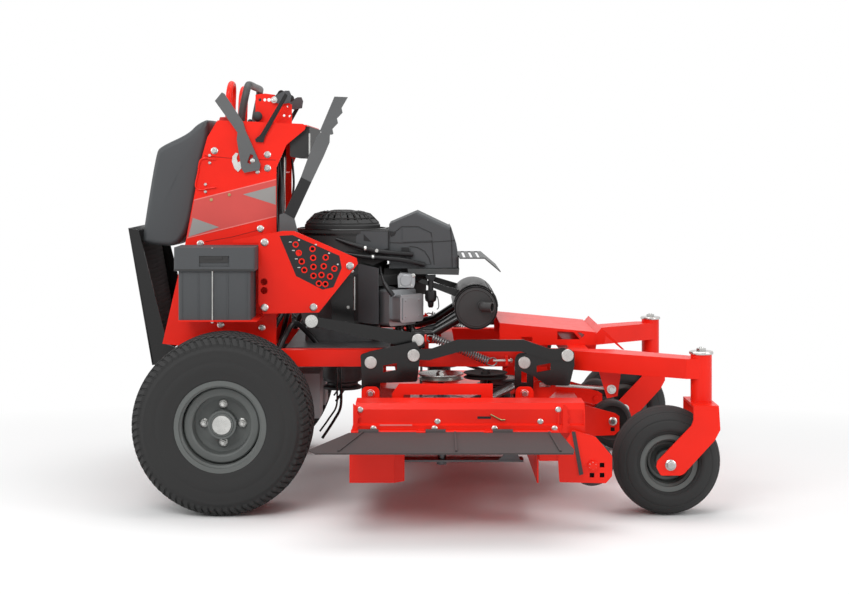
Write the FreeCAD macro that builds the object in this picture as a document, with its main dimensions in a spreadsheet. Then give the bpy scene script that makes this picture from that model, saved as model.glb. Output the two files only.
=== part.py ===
import FreeCAD, Part
import Sketcher
import math
import os
from FreeCAD import Vector

# Stand-on mower with a 60 inch side-discharge deck.
# X runs forward, Y to the left and Z up. Every piece is drawn about the
# machine's midline; the whole machine is then moved by the size "midline",
# because the discharge chute makes the right side wider than the left.

doc = FreeCAD.newDocument("StandOnMower")
sheet = doc.addObject("Spreadsheet::Sheet", "Sizes")

SIZES = {
    # whole machine
    "midline": 99.5,
    "clearance": 5,
    "seat_gap": 0.3,
    "sheet_steel": 5,
    "heavy_plate": 8,
    # drive wheels
    "drive_axle_x": -599,
    "drive_tyre_radius": 279.4,
    "drive_tyre_width": 241,
    "drive_wheel_y": 524.5,
    "drive_rim_radius": 143,
    "drive_shoulder": 46,
    "drive_hub_recess": 80,
    "drive_disc": 6,
    "drive_dish": 12,
    "caster_dish": 6,
    "drive_flange_radius": 44,
    # caster wheels
    "caster_axle_x": 784,
    "caster_tyre_radius": 166.5,
    "caster_tyre_width": 165,
    "caster_rim_radius": 89,
    "caster_shoulder": 66,
    "caster_post_x": 895,
    "caster_post_y": 555,
    "post_radius": 33,
    "post_bore": 19.3,
    "post_top": 496,
    "post_bottom": 362,
    "post_cap": 8,
    "fork_crown": 340,
    "fork_plate": 8,
    "fork_gap": 8,
    "fork_leg": 62,
    "fork_corner": 9,
    "rim_wall": 5,
    "hub_radius": 26,
    "drive_shaft": 17,
    "axle_radius": 10,
    # frame
    "rail_outer": 355,
    "rail_width": 50,
    "rail_top": 484,
    "rail_depth": 54,
    "rail_wall": 5,
    "rail_rear_x": -720,
    "rail_front_x": 566,
    "arm_width": 62,
    "tunnel_half": 215,
    # tower
    "tower_half": 300,
    "tower_plate": 5,
    "tower_foot_rear_x": -832,
    "tower_waist_rear_x": -759,
    "tower_top_rear_x": -651,
    "tower_front_x": -457,
    "tower_waist": 815,
    "tower_shoulder": 1097,
    "tower_top": 1233,
    "tower_brow_x": -424,
    "console_front_x": -336,
    "console_front": 1220,
    "nose_depth": 96,
    "lever_shaft": 8,
    "lever_shaft_x": -505,
    "drive_lever_y": 150,
    "shelf_clearance": 34.2,
    "shelf_outer": 482,
    "shelf_rear_x": -752,
    "shelf_front_x": -502,
    # knee pad
    "pad_half": 250,
    "pad_rear_x": -912,
    "pad_bottom": 810,
    "pad_top": 1244,
    "pad_gap": 0.3,
    # battery
    "battery_length": 231,
    "battery_rear_x": -753,
    "battery_inner": 316,
    "battery_width": 158,
    "battery_height": 156,
    "lid_height": 75,
    "box_corner": 9,
    "lid_lip": 13,
    # platform
    "platform_hinge_x": -680,
    "platform_hinge": 415,
    "platform_half": 274,
    "platform_top_x": -950,
    "platform_top": 877,
    "platform_foot_x": -872,
    "platform_foot": 430,
    "platform_sheet": 4,
    "platform_flange": 34,
    "mat_thick": 10,
    "hinge_pin": 9,
    # deck
    "deck_top": 270,
    "deck_bottom": 134,
    "deck_sheet": 5,
    "deck_half": 762,
    "deck_left_step": 13,
    "deck_rear_x": -195,
    "deck_front_x": 372,
    "deck_nose_x": 566,
    "deck_nose_half": 170,
    "deck_notch_x": -20,
    "deck_notch_half": 215,
    "spindle_side_x": 85,
    "spindle_side_y": 495,
    "spindle_mid_x": 285,
    "blade_radius": 258,
    "blade_width": 64,
    "blade_thick": 6,
    "blade_height": 152,
    "spindle_radius": 14,
    "housing_radius": 44,
    "housing_height": 52,
    "pulley_radius": 72,
    "pulley_height": 24,
    "groove_depth": 10,
    "belt_width": 9,
    "belt_height": 10,
    "chute_rear_x": -190,
    "chute_length": 622,
    "chute_reach": 217,
    "chute_gap": 12,
    "chute_flare": 113,
    "chute_slope": 6.5,
    "baffle_bend_x": -60,
    "baffle_end_x": -30,
    "baffle_turn": 27,
    "cover_sheet": 4,
    "cover_top": 371,
    "cover_depth": 122,
    "cover_overhang": 135,
    "hoop_top": 407,
    "hoop_y": 590,
    "chute_height": 288,
    "chute_pin": 5,
    "hinge_barrel": 9,
    "lug_length": 20,
    "barrel_length": 60,
    "scalp_radius": 65,
    "scalp_width": 60,
    "corner_wheel_x": 531,
    "corner_wheel": 191,
    "nose_wheel_x": 650,
    "nose_wheel_y": 250,
    "nose_wheel": 242,
    # deck lift linkage
    "link_plane": 416,
    "link_plate": 8,
    "rear_pivot_x": -37,
    "front_pivot_x": 457,
    "pivot_height": 405,
    "crank_shaft": 12,
    "hanger_x": 106,
    "hanger_half": 30,
    "pin_head": 19,
    "pin_head_thick": 5,
    "hanger_rise": 46,
    "horn_x": 32,
    "horn_rise": 70,
    "lift_horn_x": 46,
    "lift_horn_rise": 116,
    "link_pin": 8,
    "pin_fit": 0.05,
    "ear_height": 353,
    "link_play": 14.5,
    "drag_y": 351,
    "drag_foot_x": 412,
    "drag_foot": 372,
    "lever_pivot_x": -392,
    "lever_pivot": 794,
    "lever_foot_x": -335,
    "lever_foot": 581,
    "lever_plane": 322,
    "lever_pin": 10,
    "pin_fan_x": -336,
    "pin_fan": 636,
    "pin_fan_radius": 199,
    "pin_hole": 6,
    "rack_hole_x": -490,
    "rack_hole": 693,
    "rack_pitch": 28,
    "rack_hole_radius": 11.5,
    "lift_plane": 371,
    # engine
    "engine_x": -255,
    "engine_floor": 500,
    "case_radius": 118,
    "case_top": 708,
    "blower_radius": 156,
    "screen_radius": 131,
    "cleaner_rear_x": -90,
    "cleaner_base": 735,
    "cleaner_half": 138,
    "tail_radius": 17,
    "pipe_radius": 15,
    "blower_top": 864,
    "cylinder_height": 610,
    "muffler_x": 202,
    "muffler_height": 609,
    "muffler_radius": 71,
    "muffler_half": 225,
}


class Length:
    """A length, kept both as a number and as the sheet's expression for it."""

    def __init__(self, value, text):
        self.value = float(value)
        self.text = text

    def joined(self, other, sign, value, flip=False):
        other_text = other.text if isinstance(other, Length) else repr(round(float(other), 6))
        first, last = (other_text, self.text) if flip else (self.text, other_text)
        return Length(value, f"({first} {sign} {last})")

    def __add__(self, other):
        return self.joined(other, "+", self.value + number(other))

    def __radd__(self, other):
        return self.joined(other, "+", number(other) + self.value, True)

    def __sub__(self, other):
        return self.joined(other, "-", self.value - number(other))

    def __rsub__(self, other):
        return self.joined(other, "-", number(other) - self.value, True)

    def __mul__(self, other):
        return self.joined(other, "*", self.value * number(other))

    def __rmul__(self, other):
        return self.joined(other, "*", number(other) * self.value, True)

    def __truediv__(self, other):
        return self.joined(other, "/", self.value / number(other))

    def __neg__(self):
        return Length(-self.value, f"(0 - {self.text})")


def number(length):
    """The plain number of a length or of a number."""
    return length.value if isinstance(length, Length) else float(length)


class Sizes:
    """The sheet's cells as lengths, one attribute for each alias."""

    def __init__(self, table):
        for row, (alias, value) in enumerate(table.items(), start=1):
            sheet.set(f"A{row}", alias)
            sheet.set(f"B{row}", str(value))
            sheet.setAlias(f"B{row}", alias)
            setattr(self, alias, Length(value, f"Sizes.{alias}"))


size = Sizes(SIZES)
# The side shelves pass over the drive tyres, and the deck reaches further out on its left.
size.shelf_height = size.drive_tyre_radius * 2 + size.shelf_clearance
size.deck_left = size.deck_half + size.deck_left_step
doc.recompute()

nodes = []


def bind(thing, name, length):
    """Set a property from a length and keep it bound to the sheet."""
    if isinstance(length, Length):
        thing.setExpression(name, length.text)
        return
    target = thing
    *path, last = name.split(".")
    if len(path) > 1 or (path and path[0] == "Placement"):
        thing.setExpression(name, repr(float(length)))
    else:
        setattr(target, last, length)


def place(thing, x=0, y=0, z=0):
    """Bind an object's place."""
    for axis, length in zip("xyz", (x, y, z)):
        bind(thing, f"Placement.Base.{axis}", length)


def node(thing, label, x=0, y=0, z=0):
    """Name a finished sub-part, place it on the machine and list it."""
    if thing.TypeId in ("Part::Box", "Part::Cylinder", "Part::Feature"):
        thing = group(thing)
    thing.Label = label
    place(thing, x, size.midline + y, z)
    nodes.append(thing)
    return thing


def new_body(label="Piece"):
    return doc.addObject("PartDesign::Body", label)


def plane_of(body, name):
    """One of the body's own origin planes, named XY, XZ or YZ."""
    return [item for item in body.Origin.OriginFeatures if item.Role == f"{name}_Plane"][0]


def sketch(body, plane, loops, circles=(), offset=0):
    """A sketch on an origin plane: closed loops of points, and circles (x, y, radius)."""
    drawing = body.newObject("Sketcher::SketchObject", "Outline")
    drawing.AttachmentSupport = [(plane_of(body, plane), "")]
    drawing.MapMode = "FlatFace"
    bind(drawing, "AttachmentOffset.Base.z", offset if isinstance(offset, Length) else float(offset))
    links = []
    for points in loops:
        first = drawing.GeometryCount
        count = len(points)
        corners = [Vector(number(x), number(y), 0) for x, y in points]
        sides = [Part.LineSegment(corners[i], corners[(i + 1) % count]) for i in range(count)]
        drawing.addGeometry(sides, False)
        drawing.addConstraint([
            Sketcher.Constraint("Coincident", first + i, 2, first + (i + 1) % count, 1) for i in range(count)
        ])
        for i, (x, y) in enumerate(points):
            links.append(("DistanceX", first + i, 1, x))
            links.append(("DistanceY", first + i, 1, y))
    for x, y, radius in circles:
        index = drawing.addGeometry(Part.Circle(Vector(number(x), number(y), 0), Vector(0, 0, 1),
                                                number(radius)), False)
        links.append(("DistanceX", index, 3, x))
        links.append(("DistanceY", index, 3, y))
        links.append(("Radius", index, 0, radius))
    for kind, index, point, length in links:
        if kind == "Radius":
            rule = Sketcher.Constraint(kind, index, number(length))
        else:
            rule = Sketcher.Constraint(kind, -1, 1, index, point, number(length))
        added = drawing.addConstraint(rule)
        if isinstance(length, Length):
            drawing.setExpression(f"Constraints[{added}]", length.text)
    return drawing


def pad(body, drawing, length):
    feature = body.newObject("PartDesign::Pad", "Pad")
    feature.Profile = drawing
    bind(feature, "Length", length)
    return feature


def plate(plane, points, low, thick, holes=(), windows=()):
    """A flat plate: its outline padded from its low face along the plane's axis."""
    body = new_body()
    offset = -(low + thick) if plane == "XZ" else low
    drawing = sketch(body, plane, [points, *windows], holes, offset)
    pad(body, drawing, thick)
    return body


def rounded(body, radius, choose):
    """Round the edges that the test picks on the body's tip."""
    doc.recompute()
    tip = body.Tip
    names = [f"Edge{i}" for i, edge in enumerate(tip.Shape.Edges, start=1) if choose(edge)]
    feature = body.newObject("PartDesign::Fillet", "Fillet")
    feature.Base = (tip, names)
    bind(feature, "Radius", radius)
    return body


def turned(plane, points, axis="H_Axis", loops=()):
    """A solid of revolution about one of its sketch's axes."""
    body = new_body()
    drawing = sketch(body, plane, [points, *loops])
    feature = body.newObject("PartDesign::Revolution", "Revolution")
    feature.Profile = drawing
    feature.ReferenceAxis = (drawing, [axis])
    feature.Angle = 360
    return body


def box(x, y, z, long, wide, high):
    """A box from its low corner."""
    block = doc.addObject("Part::Box", "Block")
    bind(block, "Length", long)
    bind(block, "Width", wide)
    bind(block, "Height", high)
    place(block, x, y, z)
    return block


TURN = {
    "X": FreeCAD.Rotation(Vector(0, 1, 0), 90),
    "Y": FreeCAD.Rotation(Vector(1, 0, 0), -90),
    "Z": FreeCAD.Rotation(),
}


def rod(axis, x, y, z, radius, length):
    """A round bar from a point along +X, +Y or +Z."""
    bar = doc.addObject("Part::Cylinder", "Rod")
    bind(bar, "Radius", radius)
    bind(bar, "Height", length)
    bar.Placement.Rotation = TURN[axis]
    place(bar, x, y, z)
    return bar


def fused(*parts):
    whole = doc.addObject("Part::MultiFuse", "Whole")
    whole.Shapes = list(parts)
    return whole


def cut(base, *tools):
    """The base less its tools."""
    result = doc.addObject("Part::Cut", "Cut")
    result.Base = base
    result.Tool = tools[0] if len(tools) == 1 else fused(*tools)
    return result


def mirrored(part):
    """The same piece on the other side of the midline."""
    twin = doc.addObject("Part::Mirroring", "Twin")
    twin.Source = part
    twin.Normal = (0, 1, 0)
    return twin


def group(*parts):
    """Several separate solids that share one node."""
    whole = doc.addObject("Part::Compound", "Group")
    whole.Links = list(parts)
    return whole


def both(part):
    """A piece and its mirror image as one group."""
    return group(part, mirrored(part))


def shaped(shape):
    """A feature whose shape comes straight from Part's own functions."""
    feature = doc.addObject("Part::Feature", "Form")
    feature.Shape = shape
    return feature


def round_edge(radius):
    """A test for full circles of about one radius."""
    def test(edge):
        curve = edge.Curve
        return hasattr(curve, "Radius") and abs(curve.Radius - number(radius)) < 0.01
    return test


def upright(axis):
    """A test for straight edges along X, Y or Z."""
    spot = "XYZ".index(axis)

    def test(edge):
        if not isinstance(edge.Curve, Part.Line):
            return False
        return abs(edge.tangentAt(edge.FirstParameter)[spot]) > 0.999
    return test


def pipe(points, radius, bend):
    """A round tube along straight runs joined by tangent arcs of one bend radius."""
    spots = [Vector(*[number(value) for value in point]) for point in points]
    edges = []
    start = spots[0]
    for before, corner, after in zip(spots, spots[1:], spots[2:]):
        incoming = (corner - before).normalize()
        outgoing = (after - corner).normalize()
        half_turn = incoming.getAngle(outgoing) / 2
        reach = number(bend) * math.tan(half_turn)
        entry = corner - incoming * reach
        leave = corner + outgoing * reach
        inward = (outgoing - incoming).normalize()
        centre = corner + inward * (number(bend) / math.cos(half_turn))
        middle = centre - inward * number(bend)
        edges.append(Part.LineSegment(start, entry).toShape())
        edges.append(Part.Arc(entry, middle, leave).toShape())
        start = leave
    edges.append(Part.LineSegment(start, spots[-1]).toShape())
    path = Part.Wire(edges)
    heading = (spots[1] - spots[0]).normalize()
    ring = Part.Wire(Part.makeCircle(number(radius), spots[0], heading))
    return path.makePipeShell([ring], True, False)


# ---------------------------------------------------------------- wheels

def tyre(radius, width, rim_radius, shoulder):
    """A tyre about the Y axis, solid down to the rim's seat."""
    half = width / 2
    points = [(-half, rim_radius), (half, rim_radius), (half, radius), (-half, radius)]
    body = turned("YZ", points)
    rounded(body, shoulder, round_edge(radius))
    return body


def rim(radius, width, hub_radius, bore, disc_y, disc, dish):
    """A pressed rim: rolled flanges, stepped barrel, a dished disc at disc_y and a hub round the bore."""
    wall = size.rim_wall
    half = width / 2
    outer = radius - size.seat_gap
    lip = radius - wall * 3
    step = radius - wall * 4.4
    points = [
        (-half, outer), (half, outer), (half, lip), (half - wall * 2, lip), (half - wall * 3, step),
        (disc_y + disc, step), (disc_y + disc + dish, dish + hub_radius * 1.5), (disc_y + disc + dish,
                                                                                 hub_radius),
        (half * 0.45, hub_radius), (half * 0.45, bore), (-half * 0.6, bore), (-half * 0.6, hub_radius),
        (disc_y + dish, hub_radius), (disc_y + dish, dish + hub_radius * 1.5 - disc * 0.5), (disc_y, step),
        (-half + wall * 3, step), (-half + wall * 2, lip), (-half, lip),
    ]
    return turned("YZ", points)


def drive_wheels():
    """The two large drive wheels, each a tyre on a pressed rim with its hub flange."""
    half = size.drive_tyre_width / 2
    disc_y = -half + size.drive_hub_recess
    for side, name in ((-1, "right"), (1, "left")):
        rubber = tyre(size.drive_tyre_radius, size.drive_tyre_width, size.drive_rim_radius,
                      size.drive_shoulder)
        wheel = rim(size.drive_rim_radius, size.drive_tyre_width * 0.92, size.drive_flange_radius,
                    size.drive_shaft + size.pin_fit, disc_y, size.drive_disc, size.drive_dish)
        pieces = {"tyre": rubber, "rim": wheel}
        for kind, piece in pieces.items():
            whole = piece if side < 0 else group(mirrored(piece))
            node(whole, f"drive_{kind}_{name}", size.drive_axle_x, side * size.drive_wheel_y,
                 size.drive_tyre_radius)


def casters():
    """Front casters: a bent fork with its stem in the post, and a small wheel on an axle bolt."""
    inner = size.caster_tyre_width / 2 + size.fork_gap
    trail = size.caster_post_x - size.caster_axle_x
    leg_half = size.fork_leg / 2
    for side, name in ((-1, "right"), (1, "left")):
        spot = side * size.caster_post_y
        crown = box(-leg_half * 1.3, -inner - size.fork_plate, size.fork_crown, leg_half * 2.5,
                    (inner + size.fork_plate) * 2, size.fork_plate)
        axle = size.caster_tyre_radius
        leg_points = [
            (leg_half * 1.2, size.fork_crown + size.fork_plate),
            (-leg_half * 1.3, size.fork_crown + size.fork_plate),
            (-leg_half * 1.3, axle + 138), (-leg_half * 1.5, axle + 120), (-trail - 40, axle + 12),
            (-trail - 44, axle - 6), (-trail - 30, axle - 32), (-trail + 30, axle - 32),
            (-trail + 42, axle - 26),
            (leg_half * 0.8, axle + 76), (leg_half * 1.35, axle + 108),
        ]
        legs = [plate("XZ", leg_points, low, size.fork_plate,
                      [(-trail, size.caster_tyre_radius, size.axle_radius)])
                for low in (inner, -inner - size.fork_plate)]
        for leg in legs:
            rounded(leg, size.fork_corner, upright("Y"))
        stem = rod("Z", 0, 0, size.fork_crown, size.post_bore - size.pin_fit,
                   size.post_top + size.post_cap / 2 - size.fork_crown)
        collar = rod("Z", 0, 0, size.fork_crown + size.fork_plate, size.post_radius,
                     size.post_bottom - size.fork_crown - size.fork_plate)
        cap = rod("Z", 0, 0, size.post_top, size.post_radius * 1.08, size.post_cap)
        nut = rod("Z", 0, 0, size.post_top + size.post_cap, size.axle_radius, size.post_cap)
        bolt = rod("Y", -trail, -inner - size.fork_plate * 2, size.caster_tyre_radius, size.axle_radius,
                   (inner + size.fork_plate * 2) * 2)
        node(fused(crown, *legs, stem, collar, cap, nut, bolt), f"caster_fork_{name}", size.caster_post_x,
             spot)
        rubber = tyre(size.caster_tyre_radius, size.caster_tyre_width, size.caster_rim_radius,
                      size.caster_shoulder)
        wheel = rim(size.caster_rim_radius, size.caster_tyre_width * 0.8, size.hub_radius,
                    size.axle_radius + size.pin_fit, -size.fork_plate, size.fork_plate, size.caster_dish)
        node(rubber, f"caster_tyre_{name}", size.caster_axle_x, spot, size.caster_tyre_radius)
        node(wheel, f"caster_rim_{name}", size.caster_axle_x, spot, size.caster_tyre_radius)


# ---------------------------------------------------------------- frame

def frame():
    """Two rail tubes with their cross tubes, the hinge brackets and the crank bearings."""
    wall = size.rail_wall
    inner = size.rail_outer - size.rail_width
    low = size.rail_top - size.rail_depth
    body = new_body()
    drawing = sketch(body, "YZ", [
        [(inner, low), (size.rail_outer, low), (size.rail_outer, size.rail_top), (inner, size.rail_top)],
        [(inner + wall, low + wall), (size.rail_outer - wall, low + wall),
         (size.rail_outer - wall, size.rail_top - wall), (inner + wall, size.rail_top - wall)],
    ], offset=size.rail_rear_x)
    pad(body, drawing, size.rail_front_x - size.rail_rear_x)
    bars = [box(x, -inner, size.rail_top - size.rail_width, wide, inner * 2, size.rail_width)
            for x, wide in ((size.rail_rear_x + 150, 40), (size.engine_x + 345, 40),
                            (size.rail_front_x - 60, 60))]
    hanger_points = [(-30, low), (30, low), (size.crank_shaft * 1.7, size.pivot_height - 20),
                     (-size.crank_shaft * 1.7, size.pivot_height - 20)]
    bearings = []
    for pivot_x in (size.rear_pivot_x, size.front_pivot_x):
        points = [(pivot_x + x, z) for x, z in hanger_points]
        hole = (pivot_x, size.pivot_height, size.crank_shaft + size.pin_fit)
        bearings.append(plate("XZ", points, size.rail_outer - size.heavy_plate * 2, size.heavy_plate * 2,
                              [hole]))
    hinge_x = size.platform_hinge_x
    hinge_points = [(hinge_x - 24, size.rail_top - 10), (hinge_x - 24, size.platform_hinge - 16),
                    (hinge_x - 12, size.platform_hinge - 24), (hinge_x + 12, size.platform_hinge - 24),
                    (hinge_x + 24, size.platform_hinge - 16), (hinge_x + 24, size.rail_top - 10)]
    bearings.append(plate("XZ", hinge_points, inner - size.heavy_plate, size.heavy_plate,
                          [(hinge_x, size.platform_hinge, size.hinge_pin + size.pin_fit)]))
    halves = [body, *bearings]
    whole = fused(*halves, *[mirrored(half) for half in halves], *bars)
    node(whole, "frame_rails")


def caster_arms():
    """Rear-facing arms from the rails' front ends out to the caster posts, with their brackets."""
    low = size.post_top - 75
    half = size.arm_width / 2
    reach_x = size.caster_post_x - size.post_radius * 0.6
    arm = plate("XY", [
        (size.rail_front_x - 70, size.rail_outer + size.seat_gap),
        (size.rail_front_x + size.seat_gap, size.rail_outer + size.seat_gap),
        (size.rail_front_x + size.seat_gap, size.rail_outer - size.rail_width + 8),
        (size.rail_front_x + 84, size.rail_outer - size.rail_width + 20),
        (reach_x + half, size.caster_post_y - half),
        (reach_x + half * 0.4, size.caster_post_y + half), (reach_x - half, size.caster_post_y + half),
    ], low, size.arm_width)
    tube = cut(rod("Z", size.caster_post_x, size.caster_post_y, size.post_bottom, size.post_radius,
                   size.post_top - size.post_bottom),
               rod("Z", size.caster_post_x, size.caster_post_y, size.post_bottom - 1, size.post_bore + 8,
                   size.post_top - size.post_bottom + 2))
    arm_cut = cut(arm, rod("Z", size.caster_post_x, size.caster_post_y, low - 1, size.post_bore + 8,
                           size.arm_width + 2))
    bush = cut(rod("Z", size.caster_post_x, size.caster_post_y, size.post_bottom, size.post_bore + 8,
                   size.post_top - size.post_bottom),
               rod("Z", size.caster_post_x, size.caster_post_y, size.post_bottom - 1, size.post_bore,
                   size.post_top - size.post_bottom + 2))
    bracket_x = size.rail_front_x + 68
    bracket = plate("XZ", [(bracket_x - 40, low), (bracket_x + 34, low), (bracket_x + 22, low - 84),
                           (bracket_x - 12, low - 92)], size.rail_outer + 10, size.heavy_plate,
                    [(bracket_x + 2, low - 62, size.hinge_pin)])
    whole = fused(arm_cut, tube, bush, bracket)
    node(both(whole), "caster_arms")


def front_tunnel():
    """The nose cover: a sloping roof on two cheeks, closed ahead by a raised wedge that is open below."""
    rear_x = size.muffler_x + size.muffler_radius + 8
    roof_x = size.rail_front_x + 36
    front_x = size.rail_front_x + 133
    crest_x = size.rail_front_x + 56
    base = size.rail_top
    wall = size.sheet_steel
    half = size.tunnel_half
    rear_top = base + 74
    roof_top = base + 43
    crest = base + 57
    nose = base - 16
    window_x = roof_x - 128
    cheek = plate("XZ", [(rear_x, base), (roof_x, base), (roof_x, roof_top), (rear_x, rear_top)],
                  half - wall, wall,
                  windows=[[(window_x, base + 19), (window_x + 77, base + 19), (window_x + 91, base + 34),
                            (window_x + 77, base + 42), (window_x, base + 46)],
                           [(rear_x + 73, base + 12), (rear_x + 110, base + 12), (rear_x + 110, base + 27),
                            (rear_x + 73, base + 27)]])
    roof = plate("XZ", [(rear_x, rear_top), (roof_x, roof_top), (roof_x, roof_top - wall),
                        (rear_x, rear_top - wall)],
                 -half + wall, (half - wall) * 2)
    side = plate("XZ", [(roof_x - 26, base + 4), (crest_x, crest), (front_x, nose), (front_x - 8, nose),
                        (crest_x + 14, crest - 26), (roof_x + 30, base + 4)], half - wall * 2, wall)
    face = plate("XZ", [(roof_x - 26, base + 4), (crest_x, crest), (front_x, nose), (front_x - wall * 1.5,
                                                                                     nose),
                        (crest_x, crest - wall * 1.5), (roof_x - 26 + wall * 1.5, base + 4)],
                 -half + wall, (half - wall) * 2)
    node(fused(cheek, mirrored(cheek), roof, side, mirrored(side), face), "front_tunnel")


# ---------------------------------------------------------------- tower

def tower():
    """The hollow control tower: two side panels joined by back, shelf and console plates."""
    wall = size.tower_plate
    half = size.tower_half
    foot = size.rail_top
    outline = [
        (size.tower_foot_rear_x, foot + 14), (size.tower_waist_rear_x, size.tower_waist),
        (size.tower_waist_rear_x + 53, size.tower_shoulder), (size.tower_waist_rear_x + 75,
                                                              size.tower_shoulder + 80),
        (size.tower_top_rear_x, size.tower_top), (size.console_front_x - 6, size.console_front),
        (size.tower_brow_x, size.tower_shoulder + 55), (size.tower_front_x, size.tower_shoulder - 20),
        (size.tower_front_x, foot), (size.rail_rear_x + 20, foot),
    ]
    panel = plate("XZ", outline, half - wall, wall)
    rounded(panel, 12, lambda edge: upright("Y")(edge) and edge.Vertexes[0].Z > size.tower_shoulder.value)
    inner = half - wall - size.seat_gap
    back = plate("XZ", [
        (size.tower_waist_rear_x, size.tower_waist - 40), (size.tower_waist_rear_x + 53, size.tower_shoulder),
        (size.tower_waist_rear_x + 75, size.tower_shoulder + 80), (size.tower_top_rear_x, size.tower_top),
        (size.tower_top_rear_x, size.tower_top - wall), (size.tower_waist_rear_x + 75 + wall,
                                                         size.tower_shoulder + 78),
        (size.tower_waist_rear_x + 53 + wall, size.tower_shoulder - 2), (size.tower_waist_rear_x + wall,
                                                                         size.tower_waist - 42),
    ], -inner, inner * 2)
    lid = box(size.tower_top_rear_x - 1, -inner, size.tower_top - 20,
              size.console_front_x - size.tower_top_rear_x - 20,
              inner * 2, wall)
    braces = [box(size.tower_front_x - 40, -inner, height, 34, inner * 2, wall)
              for height in (size.tower_waist - 60, size.tower_shoulder - 40)]
    shaft = rod("Y", size.lever_shaft_x, -size.drive_lever_y - 40, size.tower_top + 2, size.lever_shaft,
                size.drive_lever_y * 2 + 80)
    blocks = [box(size.lever_shaft_x - 10, y, size.tower_top - 16, 20, 12, 18)
              for y in (-size.drive_lever_y - 40, -6, size.drive_lever_y + 28)]
    node(group(fused(back, lid, shaft, *blocks), *braces), "tower_shell")
    shelf = box(size.shelf_rear_x, half - 1, size.shelf_height - wall,
                size.shelf_front_x - size.shelf_rear_x, size.shelf_outer - half, wall)
    skirt = plate("XZ", [
        (size.shelf_rear_x, size.shelf_height), (size.shelf_front_x, size.shelf_height),
        (size.shelf_front_x, size.shelf_height + 180), (size.shelf_front_x - 30, size.shelf_height + 180),
        (size.shelf_front_x - 30, size.shelf_height + 200), (size.shelf_rear_x, size.shelf_height + 200),
    ], half - 1, wall)
    node(both(fused(panel, shelf, skirt)), "tower_sides")


def knee_pad():
    """The moulded cushion that the operator leans on, across the tower's back."""
    gap = size.pad_gap
    rear = size.tower_waist_rear_x - gap
    profile = [
        (size.tower_top_rear_x - 32, size.pad_top), (size.pad_rear_x + 185, size.pad_top - 20),
        (size.pad_rear_x + 153, size.pad_top - 53), (size.pad_rear_x + 61, size.pad_top - 96),
        (size.pad_rear_x + 46, size.pad_top - 119), (size.pad_rear_x, size.pad_bottom + 33),
        (size.pad_rear_x + 8, size.pad_bottom + 10), (rear, size.pad_bottom),
        (rear + 53, size.tower_shoulder), (rear + 75, size.tower_shoulder + 80),
    ]
    cushion = plate("XZ", profile, -size.pad_half, size.pad_half * 2)
    node(cushion, "knee_pad")


def controls():
    """Instrument panel, loops that the hands rest on, levers and the parking brake."""
    top = size.tower_top
    deck_top = top - 15
    panel_y = -size.tower_half * 0.84
    face = plate("XZ", [(-531, deck_top), (-531, top + 86), (-500, top + 90), (-468, top + 86),
                        (-410, top + 53),
                        (-410, deck_top)], panel_y, 3,
                 [(-516, top + 69, 5), (-500, top + 69, 5), (-486, top + 69, 6), (-424, top + 47, 3),
                  (-436, top + 17, 4), (-417, top + 15, 4)])
    flange = box(-531, panel_y + 3, deck_top, 3, 40, top - deck_top + 84)
    node(fused(face, flange), "instrument_panel")
    loops = []
    for x, rise, radius in ((-548, 122, 14),):
        shape = pipe([(x, -210, deck_top), (x, -210, top + rise), (x, 210, top + rise), (x, 210, deck_top)],
                     radius, 46)
        loops.append(shaped(shape))
    node(group(*loops), "upper_bar")
    red = shaped(pipe([(-606, -236, deck_top), (-606, -236, top + 96), (-606, -120, top + 96),
                       (-606, -120, deck_top)],
                      11, 34))
    node(group(red, mirrored(red)), "red_loops")
    for side, name in ((-1, "right"), (1, "left")):
        stick = shaped(pipe([(0, 0, 0), (22, 0, 54), (40, 0, 96), (40, side * 34, 112)], 9, 16))
        hub = rod("Y", 0, -12, 0, size.lever_shaft * 2, 24)
        bore = rod("Y", 0, -20, 0, size.lever_shaft + size.pin_fit, 40)
        node(cut(fused(stick, hub), bore), f"drive_lever_{name}", size.lever_shaft_x,
             side * size.drive_lever_y,
             top + 2)
    nose = plate("XZ", [(size.tower_brow_x + 10, top - 20), (size.tower_brow_x + 74, top - 20),
                        (size.tower_brow_x + 74, top - 24 - size.nose_depth),
                        (size.tower_brow_x + 46, top - 30 - size.nose_depth),
                        (size.tower_brow_x + 10, top - 24 - size.nose_depth)], -size.tower_half + 20,
                 size.tower_half * 2 - 40)
    rounded(nose, 8, lambda edge: upright("Y")(edge) and edge.Vertexes[0].Z < size.tower_top.value - 100)
    node(nose, "console_nose")
    plate_y = -size.tower_half - 12
    brake = plate("XZ", [(-658, 1296), (-635, 1324), (-627, 1320), (-565, 1226), (-557, 1197), (-549, 1181),
                         (-508, 1087), (-512, 1070), (-561, 1060), (-571, 1074), (-586, 1169),
                         (-584, 1193)], plate_y, 8,
                  windows=[[(-552, 1094), (-541, 1088), (-531, 1118), (-542, 1122)]])
    stub = rod("Y", -534, plate_y, 1100, 9, 11.7)
    node(fused(brake, stub), "brake_lever")


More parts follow.
